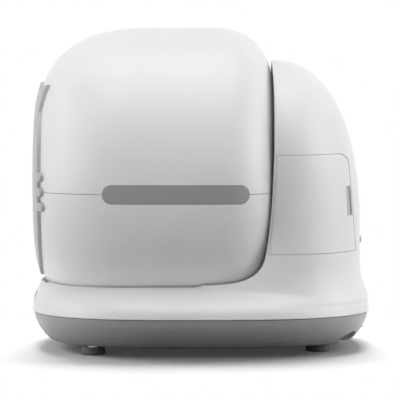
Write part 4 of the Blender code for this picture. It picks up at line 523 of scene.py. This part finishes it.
drum_plastic = moulded("drum_plastic", (0.83, 0.83, 0.835), 0.38)
for name, side in (("drum_upper", 1), ("drum_lower", -1)):
    inner = drum_curve(-DRUM_WALL, MOUTH_RADIUS, DRUM_REAR_RADIUS)[::-1]
    shell = turned(name, np.concatenate([drum_curve(0, MOUTH_RADIUS, DRUM_REAR_RADIUS), inner]), ring=True)
    for hand in (1, -1):
        landing = bar_prism("landing", hand, POCKET_RIM)
        join(landing, drum_block("outside", -DRUM_WALL / 2), "INTERSECT")
        join(landing, drum_block("inside", -POCKET_BACK))
        join(shell, landing, "UNION")
    edge = SEAM_Z + side * HALF_GAP
    far = edge - side * HALF_HEIGHT
    join(shell, slab("other_half", (-FAR_X, -FAR_Y, min(edge, far)), (FAR_X, HALF_REAR, max(edge, far))))
    for hand in (1, -1):
        join(shell, join(bar_prism("pocket", hand, POCKET_ROOM), drum_block("floor", -POCKET_FLOOR)))
    piece(shell, drum_plastic, "drum", f"{name}_shell")


# Release bars: grey moulded strips that lie flush with the drum over its seam. Pressed in, they free the lid.
# Each follows the drum's curve, with a fine satin face and softened ends.
bar_plastic = moulded("bar_plastic", (0.325, 0.331, 0.341), 0.40, grain=0.00005, grain_scale=620)
for name, hand in (("left", -1), ("right", 1)):
    bar = join(bar_prism(f"release_strip_{name}", hand, 0), drum_block("face", -BAR_IN), "INTERSECT")
    join(bar, drum_block("back", -BAR_THICK))
    piece(bar, bar_plastic, f"{name}_release", f"release_bar_{name}")


# Entrance ring: a light grey bezel pressed into the drum's mouth, with two pointed ears above and three short
# whisker tabs on each side. Its rounded lip keeps the cat off the raw edges of the shells.
RING_RADIUS, RING_THROAT, RING_ROLL, RING_WALL = 0.1675, 0.1035, 0.0045, 0.0028
RING_STEPS, RING_SPIGOT, EAR_PAST = 90, 0.016, 0.002
EAR_ANGLE, EAR_ROOT = 33, 0.16
# The ears' outline, as angles from straight up and the rise over the ring's edge at each.
EAR_SPREAD = np.array([20.5, 25.4, 29.0, 31.8, EAR_ANGLE, 34.4, 37.6, 41.6, 46.5])
EAR_RISE = np.array([-0.0028, 0.0070, 0.0158, 0.0250, 0.0292, 0.0252, 0.0162, 0.0074, -0.0028])
WHISKER_PITCH, WHISKER_HEIGHT, WHISKER_REACH = 0.0253, 0.0149, 0.181
TRIM_RADIUS, TRIM_REAR = 0.26, -0.06
TRIM_CUT_FROM, TRIM_CUT_TO = -0.34, -0.04


def ring_section():
    """From the outer edge over the face, round a half circle into the throat, and back behind the face."""
    face = drum_curve(RING_THICK, RING_THROAT + RING_ROLL, DRUM_RADIUS, RING_STEPS)[:RING_STEPS]
    face = face[face[:, 1] < EAR_TIP + EAR_PAST][::-1]
    turn = np.radians(np.linspace(80, 0, 9))
    roll = np.stack([
        face[-1, 0] + RING_ROLL * (1 - np.sin(turn)),
        face[-1, 1] - RING_ROLL * np.cos(turn),
    ], -1)
    back = drum_curve(SEAM, MOUTH_RADIUS, DRUM_RADIUS, RING_STEPS)[:RING_STEPS]
    back = back[back[:, 1] < EAR_TIP + EAR_PAST]
    spigot = MOUTH_RADIUS - SEAM
    rear = back[0, 0] + RING_SPIGOT
    inside = face[-1, 0] + RING_WALL + RING_ROLL
    turned_in = [
        (rear, RING_THROAT),
        (rear, RING_THROAT + RING_WALL),
        (inside, RING_THROAT + RING_WALL),
        (inside, spigot - RING_WALL),
        (rear, spigot - RING_WALL),
        (rear, spigot),
    ]
    return np.concatenate([face, roll, turned_in, back])


def round_axis(radius, angle):
    """Points (x, z) round the level axis, at angles in degrees from straight up."""
    turn = np.radians(angle)
    return np.stack([radius * np.sin(turn), AXIS_Z + radius * np.cos(turn)], -1)


ring = turned("entrance_bezel", ring_section(), ring=True)
trim_profile = [
    (TRIM_REAR, TRIM_RADIUS), (-FAR_Y, TRIM_RADIUS), (-FAR_Y, RING_RADIUS), (TRIM_REAR, RING_RADIUS),
]
trim = turned("trim", trim_profile, ring=True)
for hand in (1, -1):
    root = round_axis(np.array([EAR_ROOT]), hand * EAR_ANGLE)
    ear = np.concatenate([round_axis(EAR_RISE + RING_RADIUS, hand * EAR_SPREAD), root])
    join(trim, prism("ear", ear, TRIM_CUT_FROM, TRIM_CUT_TO, "Y"))
    for row in (-1, 0, 1):
        middle = (hand * RING_RADIUS, SEAM_Z + row * WHISKER_PITCH)
        whisker = pill(2 * (WHISKER_REACH - RING_RADIUS), WHISKER_HEIGHT, middle)
        join(trim, prism("whisker", whisker, TRIM_CUT_FROM, TRIM_CUT_TO, "Y"))
join(ring, trim)
ring_plastic = moulded("ring_plastic", (0.47, 0.472, 0.478), 0.36)
piece(ring, ring_plastic, "drum", "entrance_ring")


# Drum's back: a white disc held between the shells, with a wedge-shaped port for the waste and the hub at its
# centre. The hub is a stout grey journal with a flange inside the drum.
PLATE_FRONT, PLATE_STEP, PLATE_CHAMFER = 0.1175, 0.1205, 0.0005
PLATE_RADIUS, PLATE_RIM, PLATE_BORE = 0.1497, 0.156, 0.0183
PORT_OUTER, PORT_INNER, PORT_FIRST, PORT_LAST, PORT_FRONT, PORT_REAR = 0.116, 0.044, 54, 126, 0.10, 0.14
FLANGE_FRONT, FLANGE_REAR, FLANGE_RADIUS = 0.1137, 0.1172, 0.034
JOURNAL_RADIUS, JOURNAL_REAR, HUB_CHAMFER, HUB_CENTRE = 0.018, 0.1476, 0.001, 0.004
plate_profile = [
    (DRUM_REAR - PLATE_CHAMFER, PLATE_RADIUS),
    (DRUM_REAR, PLATE_RADIUS - PLATE_CHAMFER),
    (DRUM_REAR, PLATE_BORE),
    (PLATE_FRONT, PLATE_BORE),
    (PLATE_FRONT, PLATE_RIM - PLATE_CHAMFER),
    (PLATE_FRONT + PLATE_CHAMFER, PLATE_RIM),
    (PLATE_STEP, PLATE_RIM),
    (PLATE_STEP, PLATE_RADIUS),
]
plate = turned("back_plate", plate_profile, ring=True)
port_edge = arc((0, AXIS_Z), PORT_OUTER, PORT_FIRST, PORT_LAST, 30)
port = np.concatenate([port_edge, arc((0, AXIS_Z), PORT_INNER, PORT_LAST, PORT_FIRST, 16)])
join(plate, prism("port", port, PORT_FRONT, PORT_REAR, "Y"))
piece(plate, drum_plastic, "drum", "drum_rear_plate")
inner_plastic = moulded("inner_plastic", (0.40, 0.41, 0.42), 0.5, grain=0.00005, grain_scale=560)
journal = [
    (FLANGE_FRONT, HUB_CENTRE),
    (FLANGE_FRONT, FLANGE_RADIUS - HUB_CHAMFER),
    (FLANGE_FRONT + HUB_CHAMFER, FLANGE_RADIUS),
    (FLANGE_REAR, FLANGE_RADIUS),
    (FLANGE_REAR, JOURNAL_RADIUS),
    (JOURNAL_REAR - HUB_CHAMFER, JOURNAL_RADIUS),
    (JOURNAL_REAR, JOURNAL_RADIUS - HUB_CHAMFER),
]
hub = turned("journal", journal, 96)
piece(hub, inner_plastic, "drum", "drum_hub")


# Sieve: a light grey slotted plate across the drum's upper half, snapped between the shells.
# Clean litter falls back through its slots as the drum turns, and the clumps stay on it.
SIEVE_Z, SIEVE_THICK = 0.4425, 0.003
SIEVE_HALF, SIEVE_FRONT, SIEVE_REAR = 0.28, -0.165, 0.096
SLOT_LENGTH, SLOT_WIDTH, SLOT_MIDDLE, SLOT_PITCH, SLOTS_EACH_SIDE = 0.225, 0.010, -0.0345, 0.018, 8
SLOT_LOW, SLOT_HIGH = 0.43, 0.46
sieve_high = (SIEVE_HALF, SIEVE_REAR, SIEVE_Z + SIEVE_THICK)
sieve = slab("sieve", (-SIEVE_HALF, SIEVE_FRONT, SIEVE_Z), sieve_high)
join(sieve, drum_block("sieve_edge", -DRUM_WALL - SEAM), "INTERSECT")
for column in range(-SLOTS_EACH_SIDE, SLOTS_EACH_SIDE + 1):
    slot = pill(SLOT_LENGTH, SLOT_WIDTH, (SLOT_MIDDLE, column * SLOT_PITCH), 10)[:, ::-1]
    join(sieve, prism("sieve_slot", slot, SLOT_LOW, SLOT_HIGH, "Z"))
piece(sieve, ring_plastic, "drum", "litter_sieve")


# Waste drawer: a grey tub with a loose frame that pins the bag, and a white panel flush with the tower's side.
# The panel carries a grey finger cup near its rear edge, and two ribs join it to the tub's end.
BIN_FRONT, BIN_REAR, BIN_HALF, BIN_LOW, BIN_TOP = 0.150, 0.240, 0.170, 0.179, 0.312
BIN_REAR_CORNER, BIN_FRONT_CORNER = 0.060, 0.010
# Heights above the tub's underside or rim, each with how far the outline is drawn in there.
TUB_FOOT, TUB_RIM = ((0, 0.0055), (0.0005, 0.0045), (0.0015, 0.004)), ((-0.0004, 0), (0, 0.0003))
ROOM_FOOT, ROOM_RIM = ((0.002, 0.0085), (0.003, 0.0068), (0.005, 0.006)), ((0.02, 0.0018),)
HOLDER_LEVELS = ((0.3123, 0.0002), (0.3178, 0), (0.3183, 0.0008))
HOLDER_HOLE = ((0.30, 0.0055), (0.33, 0.0055))
GRIP_INNER, GRIP_LOW, GRIP_HIGH = 0.095, 0.233, 0.284
GRIP_FRONT_HIGH, GRIP_FRONT_LOW, GRIP_REAR_LOW, GRIP_REAR_HIGH = 0.2472, 0.2503, 0.2592, 0.2551
PANEL_ROOM, RIB_LOWS, RIB_HEIGHT = 0.0006, (0.204, 0.277), 0.010
RIB_INNER, RIB_OUTER, RIB_FRONT, RIB_REAR = 0.1703, 0.24, 0.160, 0.180
CUP_IN, CUP_DEPTH, CUP_WALL, CUP_FLOOR = 0.0002, 0.0056, 0.0012, 0.0014


def tub_outline(margin):
    """The tub in plan, drawn in by a margin: wide round corners at the rear and small ones at the front."""
    half, front, rear = BIN_HALF - margin, BIN_FRONT + margin, BIN_REAR - margin
    wide, small = BIN_REAR_CORNER, BIN_FRONT_CORNER
    corners = [
        arc((half - wide, rear - wide), wide, 0, 90, 24),
        arc((-half + wide, rear - wide), wide, 90, 180, 24),
        arc((-half + small, front + small), small, 180, 270, 10),
        arc((half - small, front + small), small, 270, 360, 10),
    ]
    return np.concatenate(corners)


def tub(name, levels):
    """Rows of one rounded outline, drawn in by a margin at each height."""
    rows = [stack(*tub_outline(margin).T, height) for height, margin in levels]
    return solid(name, np.array(rows))


def tub_levels(foot, rim):
    """Levels near the tub's underside and near its rim, as heights with their margins."""
    return [(BIN_LOW + up, margin) for up, margin in foot] + [(BIN_TOP + up, margin) for up, margin in rim]


waste_tub = tub("waste_tub", tub_levels(TUB_FOOT, TUB_RIM))
join(waste_tub, tub("tub_inside", tub_levels(ROOM_FOOT, ROOM_RIM)))
piece(waste_tub, inner_plastic, "drawer", "waste_bin")
bag_holder = tub("bag_holder", HOLDER_LEVELS)
join(bag_holder, tub("bag_hole", HOLDER_HOLE))
piece(bag_holder, bar_plastic, "drawer", "bag_frame")


def grip_prism(name, margin):
    """The finger cup in side view: a tall trapezium that leans as the panel's rear edge does."""
    outline = [
        (GRIP_FRONT_HIGH + margin, GRIP_HIGH - margin),
        (GRIP_FRONT_LOW + margin, GRIP_LOW + margin),
        (GRIP_REAR_LOW - margin, GRIP_LOW + margin),
        (GRIP_REAR_HIGH - margin, GRIP_HIGH - margin),
    ]
    return prism(name, outline, GRIP_INNER, PANEL_OUTER, "X")


panel = prism("drawer_panel", panel_outline(PANEL_ROOM), PANEL_INNER, PANEL_OUTER, "X")
join(panel, body_form("panel_face", 0, 300), "INTERSECT")
panel_back = body_form("panel_back", WALL, 300)
for low in RIB_LOWS:
    join(panel_back, slab("panel_rib", (RIB_INNER, RIB_FRONT, low), (RIB_OUTER, RIB_REAR, low + RIB_HEIGHT)))
join(panel, panel_back)
join(panel, grip_prism("grip_hole", 0))
piece(panel, body_plastic, "drawer", "drawer_front")
cup = join(grip_prism("finger_cup", SEAM), body_form("cup_face", CUP_IN, 300), "INTERSECT")
join(cup, body_form("cup_back", CUP_DEPTH, 300))
join(cup, join(grip_prism("cup_room", SEAM + CUP_WALL), body_form("cup_floor", CUP_FLOOR, 300)))
grip_plastic = moulded("grip_plastic", (0.50, 0.505, 0.51), 0.40, grain=0.00005, grain_scale=620)
piece(cup, grip_plastic, "drawer", "drawer_grip")


# Front controls: a black bezel flush with the pillow's front, a smoked display window and two light grey keys.
# All are held from behind, and the wall's curve runs on across them.
black_plastic = moulded("black_plastic", (0.018, 0.018, 0.02), 0.36)
smoked = moulded("smoked_window", (0.035, 0.04, 0.045), 0.10, grain=0)
BEZEL, WINDOW = (0.130, 0.020), (0.0494, 0.0114)
WINDOW_HOLE, KEY_HOLE, KEY_X = (0.050, 0.012), (0.01172, 0.01171), 0.046
CONTROLS_FRONT, CONTROLS_REAR, HOLE_FRONT, HOLE_REAR = -0.31, -0.275, -0.33, -0.26
bezel_holes = ((WINDOW_HOLE, 0), (KEY_HOLE, KEY_X), (KEY_HOLE, -KEY_X))
for name, outline, holes, material, node, finish in (
    ("key_bezel", pill(*BEZEL, (0, KEY_Z)), bezel_holes, black_plastic, "control_bezel", "black"),
    ("display", pill(*WINDOW, (0, KEY_Z)), (), smoked, "display_window", "smoked"),
):
    part = prism(name, outline, CONTROLS_FRONT, CONTROLS_REAR, "Y")
    join(part, body_form("front_face", 0, 300), "INTERSECT")
    join(part, body_form("front_back", WALL, 300))
    for hole, middle in holes:
        join(part, prism("front_hole", pill(*hole, (middle, KEY_Z)), HOLE_FRONT, HOLE_REAR, "Y"))
    piece(part, material, "base", node)
# A key's crown as steps back from its face with radii, and its collar as steps forward from its rear.
KEY_CROWN = ((0, 0.0006), (0.0001, 0.0040), (0.0004, 0.0052), (0.0010, 0.0057))
KEY_COLLAR = ((0.0021, 0.0058), (0.002, 0.0077), (0, 0.0077))
key_plastic = moulded("key_plastic", (0.52, 0.52, 0.53), 0.38)
for side in ("left", "right"):
    low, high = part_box(f"button_{side}")
    crown = [(low.y + back, radius) for back, radius in KEY_CROWN]
    collar = [(high.y - ahead, radius) for ahead, radius in KEY_COLLAR]
    key = turned(f"button_{side}_key", crown + collar, 64, axis_z=KEY_Z)
    key.data.transform(Matrix.Translation(((low.x + high.x) / 2, 0, 0)))
    piece(key, key_plastic, f"{side}_button", f"button_{side}")


# Bulkhead and waste way: a grey moulded wall between drum and tower, with a nylon bearing for the hub, a plate
# that keeps the hub in it, and a chute that takes the waste down to the tub's shelf. The wall and the shelf are
# trimmed to the body's inside, and each piece is clipped or screwed from behind.
def dress(material, *names):
    """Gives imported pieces, whose shapes are right as they are, a finish in place of their plain one."""
    for name in names:
        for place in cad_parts[name].material_slots:
            place.material = material


def trimmed(node, name, limit):
    """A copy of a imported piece, with its doubles merged, of which only what lies inside a limit is kept."""
    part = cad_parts[node].copy()
    part.name = name
    part.data = part.data.copy()
    bpy.context.scene.collection.objects.link(part)
    work = bmesh.new()
    work.from_mesh(part.data)
    bmesh.ops.remove_doubles(work, verts=work.verts, dist=1e-6)
    bmesh.ops.recalc_face_normals(work, faces=work.faces)
    work.to_mesh(part.data)
    work.free()
    return join(part, limit, "INTERSECT", keep_tool=True)


def plated(name, colour, roughness, along, depth=0.00002):
    """Worked metal: fine scratches drawn out along one direction, and cloudy patches of duller plating."""
    material = bpy.data.materials.new(name)
    material.use_nodes = True
    nodes, links = material.node_tree.nodes, material.node_tree.links
    shader = nodes["Principled BSDF"]
    shader.inputs["Metallic"].default_value = 1
    place, stretch = nodes.new("ShaderNodeTexCoord"), nodes.new("ShaderNodeMapping")
    stretch.inputs["Scale"].default_value = along
    links.new(place.outputs["Object"], stretch.inputs["Vector"])
    scratch, cloud = nodes.new("ShaderNodeTexNoise"), nodes.new("ShaderNodeTexNoise")
    scratch.inputs["Scale"].default_value = 60
    scratch.inputs["Detail"].default_value = 6
    cloud.inputs["Scale"].default_value = 38
    cloud.inputs["Detail"].default_value = 3
    links.new(stretch.outputs["Vector"], scratch.inputs["Vector"])
    links.new(place.outputs["Object"], cloud.inputs["Vector"])
    shade = nodes.new("ShaderNodeValToRGB")
    for element, level in zip(shade.color_ramp.elements, (0.86, 1.08)):
        element.color = (*[min(1, channel * level) for channel in colour], 1)
    links.new(cloud.outputs["Fac"], shade.inputs["Fac"])
    links.new(shade.outputs["Color"], shader.inputs["Base Color"])
    spread = nodes.new("ShaderNodeMapRange")
    spread.inputs["To Min"].default_value = roughness - 0.08
    spread.inputs["To Max"].default_value = roughness + 0.10
    links.new(scratch.outputs["Fac"], spread.inputs["Value"])
    links.new(spread.outputs["Result"], shader.inputs["Roughness"])
    bump = nodes.new("ShaderNodeBump")
    bump.inputs["Distance"].default_value = depth
    links.new(scratch.outputs["Fac"], bump.inputs["Height"])
    links.new(bump.outputs["Normal"], shader.inputs["Normal"])
    return material


wall_plastic = moulded("wall_plastic", (0.42, 0.425, 0.43), 0.55, grain=0.00006, grain_scale=480)
nylon = moulded("natural_nylon", (0.74, 0.72, 0.66), 0.46, grain=0.00002, grain_scale=900)
zinc_steel = plated("zinc_steel", (0.58, 0.59, 0.60), 0.34, (1, 14, 14))
dress(wall_plastic, "waste_chute")
inside = body_form("wall_limit", WALL + SEAM, 200)
for node, name in (("bulkhead", "dividing_wall"), ("bin_shelf", "tub_shelf")):
    part = trimmed(node, name, inside)
    piece(part, wall_plastic, "base", node)
bpy.data.objects.remove(inside)
dress(nylon, "hub_bearing")
dress(zinc_steel, "hub_retainer")


# Drive: a nylon ring gear on the drum's back, turned by a pinion on a geared motor. The motor hangs on a folded
# steel bracket behind the bulkhead. Its can is black painted steel.
gear_nylon = moulded("gear_nylon", (0.70, 0.69, 0.65), 0.40, grain=0.00002, grain_scale=820)
motor_paint = moulded("motor_paint", (0.045, 0.047, 0.05), 0.30, grain=0.00004, grain_scale=300)
dress(gear_nylon, "ring_gear", "drive_pinion")
dress(motor_paint, "drive_motor")
dress(zinc_steel, "motor_bracket")


# Rollers: two urethane wheels under the drum's front half carry its weight. Each turns on a ground steel pin
# between the cheeks of a glass filled bracket that is screwed to the pan.
urethane = moulded("urethane", (0.10, 0.10, 0.105), 0.62, grain=0.00008, grain_scale=360, specular=0.4)
bracket_plastic = moulded("bracket_plastic", (0.16, 0.165, 0.17), 0.52, grain=0.00007, grain_scale=640)
pin_steel = plated("pin_steel", (0.62, 0.62, 0.63), 0.22, (16, 1, 16), depth=0.00001)
dress(urethane, "roller_left", "roller_right")
dress(bracket_plastic, "roller_bracket_left", "roller_bracket_right")
dress(pin_steel, "roller_axle_left", "roller_axle_right")


# Electrics: an aluminium load cell over each foot, a green circuit board behind the front keys, the black power
# inlet in the pan's rear and a light grey key high on the tower's back.
def circuit_board(name):
    """Solder resist over copper: the edges of two stretched cell patterns make level and upright tracks."""
    material = moulded(name, (0.02, 0.16, 0.07), 0.30, grain=0)
    nodes, links = material.node_tree.nodes, material.node_tree.links
    shader = nodes["Principled BSDF"]
    base = shader.inputs["Base Color"].links[0].from_socket
    place = nodes.new("ShaderNodeTexCoord")
    for stretch in ((1, 1, 6), (6, 1, 1)):
        kinds = ("Mapping", "TexVoronoi", "MapRange", "Mix")
        turn, cells, track, mix = (nodes.new(f"ShaderNode{kind}") for kind in kinds)
        turn.inputs["Scale"].default_value = stretch
        cells.distance = "CHEBYCHEV"
        cells.feature = "DISTANCE_TO_EDGE"
        cells.inputs["Scale"].default_value = 130
        track.inputs["From Min"].default_value = 0.05
        track.inputs["From Max"].default_value = 0.09
        track.inputs["To Min"].default_value = 1
        track.inputs["To Max"].default_value = 0
        mix.data_type = "RGBA"
        mix.inputs["B"].default_value = (0.05, 0.27, 0.12, 1)
        links.new(place.outputs["Object"], turn.inputs["Vector"])
        links.new(turn.outputs["Vector"], cells.inputs["Vector"])
        links.new(cells.outputs["Distance"], track.inputs["Value"])
        links.new(track.outputs["Result"], mix.inputs["Factor"])
        links.new(base, mix.inputs["A"])
        base = mix.outputs["Result"]
    links.new(base, shader.inputs["Base Color"])
    return material


cell_metal = plated("cell_aluminium", (0.72, 0.73, 0.74), 0.38, (1, 12, 12))
inlet_plastic = moulded("inlet_plastic", (0.025, 0.025, 0.027), 0.42, grain=0.00003, grain_scale=900)
dress(cell_metal, *(f"load_cell_{name}" for name in FOOT_PLACES))
dress(circuit_board("circuit_board"), "control_board")
dress(inlet_plastic, "power_inlet")
dress(key_plastic, "rear_button")


# Camera, lights and floor: a long lens sees the side from a little above, on a floor that fades to white.
# Five soft lamps over, beside and at the ends light all but the floor, and three behind light only the floor.
VIEW_DISTANCE, VIEW_TILT, VIEW_Y, VIEW_Z, VIEW_LENS = 6.2, math.radians(3.3), -0.0016, 0.2522, 320
AIM = Vector((0, 0, 0.25))
FLOOR_HALF, FADE_FROM, FADE_TO = 60, 0.36, 0.62
camera_data = bpy.data.cameras.new("camera")
camera_data.lens = VIEW_LENS
camera = bpy.data.objects.new("camera", camera_data)
bpy.context.scene.collection.objects.link(camera)
camera.location = (VIEW_DISTANCE * math.cos(VIEW_TILT), VIEW_Y, VIEW_Z + VIEW_DISTANCE * math.sin(VIEW_TILT))
camera.rotation_euler = (math.pi / 2 - VIEW_TILT, 0, math.pi / 2)
camera_data.clip_end = 100
bpy.context.scene.camera = camera
bpy.context.scene.view_settings.view_transform = "Standard"


def lamp(name, place, size, power):
    """A soft rectangular lamp aimed at the object's middle."""
    data = bpy.data.lights.new(name, "AREA")
    data.shape = "RECTANGLE"
    data.size, data.size_y = size
    data.energy = power
    thing = bpy.data.objects.new(name, data)
    bpy.context.scene.collection.objects.link(thing)
    thing.location = place
    thing.rotation_euler = (AIM - Vector(place)).to_track_quat("-Z", "Y").to_euler()
    return thing


def seen_ray(nodes, links):
    """One for a ray from the camera, off gloss or through a clear piece, by taking the largest of the three.

    It is nought for a ray that carries light from the sky or the floor to the object."""
    path, first, second = (nodes.new(f"ShaderNode{kind}") for kind in ("LightPath", "Math", "Math"))
    first.operation = second.operation = "MAXIMUM"
    links.new(path.outputs["Is Camera Ray"], first.inputs[0])
    links.new(path.outputs["Is Glossy Ray"], first.inputs[1])
    links.new(first.outputs[0], second.inputs[0])
    links.new(path.outputs["Is Transmission Ray"], second.inputs[1])
    return second.outputs[0]


lamps = [
    lamp("lamp_over", (0.5, 0, 3.0), (2.6, 2.8), 53),
    lamp("lamp_front", (1.25, -2.2, 0.9), (2, 2), 20),
    lamp("lamp_rear", (1.25, 2.2, 0.9), (2, 2), 10),
    lamp("lamp_front_end", (0.3, -2.5, 1.0), (2, 2), 14),
    lamp("lamp_rear_end", (0.3, 2.5, 1.0), (2, 2), 26),
]
floor_lamps = [
    lamp("lamp_behind", (-1.2, 0, 2.7), (2.2, 1.8), 136),
    lamp("lamp_behind_front", (-1.0, -2.2, 1.2), (1.2, 1.2), 28),
    lamp("lamp_behind_rear", (-1.0, 2.2, 1.2), (1.2, 1.2), 14),
]

world = bpy.data.worlds.new("studio")
bpy.context.scene.world = world
world.use_nodes = True
nodes, links = world.node_tree.nodes, world.node_tree.links
sky = nodes["Background"]
sky.inputs["Color"].default_value = (0.9, 0.95, 1.0, 1)
sky.inputs["Strength"].default_value = 0.12
white = nodes.new("ShaderNodeBackground")
white.inputs["Color"].default_value = (1, 1, 1, 1)
choose = nodes.new("ShaderNodeMixShader")
links.new(seen_ray(nodes, links), choose.inputs[0])
links.new(sky.outputs[0], choose.inputs[1])
links.new(white.outputs[0], choose.inputs[2])
links.new(choose.outputs[0], nodes["World Output"].inputs["Surface"])

floor_mesh = bpy.data.meshes.new("floor")
corners = [(x * FLOOR_HALF, y * FLOOR_HALF, 0) for x, y in ((-1, -1), (1, -1), (1, 1), (-1, 1))]
floor_mesh.from_pydata(corners, [], [(0, 1, 2, 3)])
floor = bpy.data.objects.new("floor", floor_mesh)
bpy.context.scene.collection.objects.link(floor)
floor_paint = bpy.data.materials.new("floor_paint")
floor_paint.use_nodes = True
nodes, links = floor_paint.node_tree.nodes, floor_paint.node_tree.links
nodes.remove(nodes["Principled BSDF"])
matt, pale, glow = (nodes.new(f"ShaderNode{kind}") for kind in ("BsdfDiffuse", "BsdfDiffuse", "Emission"))
matt.inputs["Color"].default_value = (0.44, 0.44, 0.44, 1)
pale.inputs["Color"].default_value = (1, 1, 1, 1)
place = nodes.new("ShaderNodeTexCoord")
distance = nodes.new("ShaderNodeVectorMath")
distance.operation = "LENGTH"
links.new(place.outputs["Object"], distance.inputs[0])
fade = nodes.new("ShaderNodeMapRange")
fade.interpolation_type = "SMOOTHSTEP"
fade.inputs["From Min"].default_value = FADE_FROM
fade.inputs["From Max"].default_value = FADE_TO
fade.inputs["To Min"].default_value = 0.04
links.new(distance.outputs["Value"], fade.inputs["Value"])
shown, choose = nodes.new("ShaderNodeMixShader"), nodes.new("ShaderNodeMixShader")
links.new(fade.outputs["Result"], shown.inputs[0])
links.new(pale.outputs[0], shown.inputs[1])
links.new(glow.outputs[0], shown.inputs[2])
links.new(seen_ray(nodes, links), choose.inputs[0])
links.new(matt.outputs[0], choose.inputs[1])
links.new(shown.outputs[0], choose.inputs[2])
links.new(choose.outputs[0], nodes["Material Output"].inputs["Surface"])
floor_mesh.materials.append(floor_paint)
for name, state, chosen in (("all_but_floor", "EXCLUDE", lamps), ("floor_only", "INCLUDE", floor_lamps)):
    lit = bpy.data.collections.new(name)
    lit.objects.link(floor)
    lit.collection_objects[0].light_linking.link_state = state
    for thing in chosen:
        thing.light_linking.receiver_collection = lit
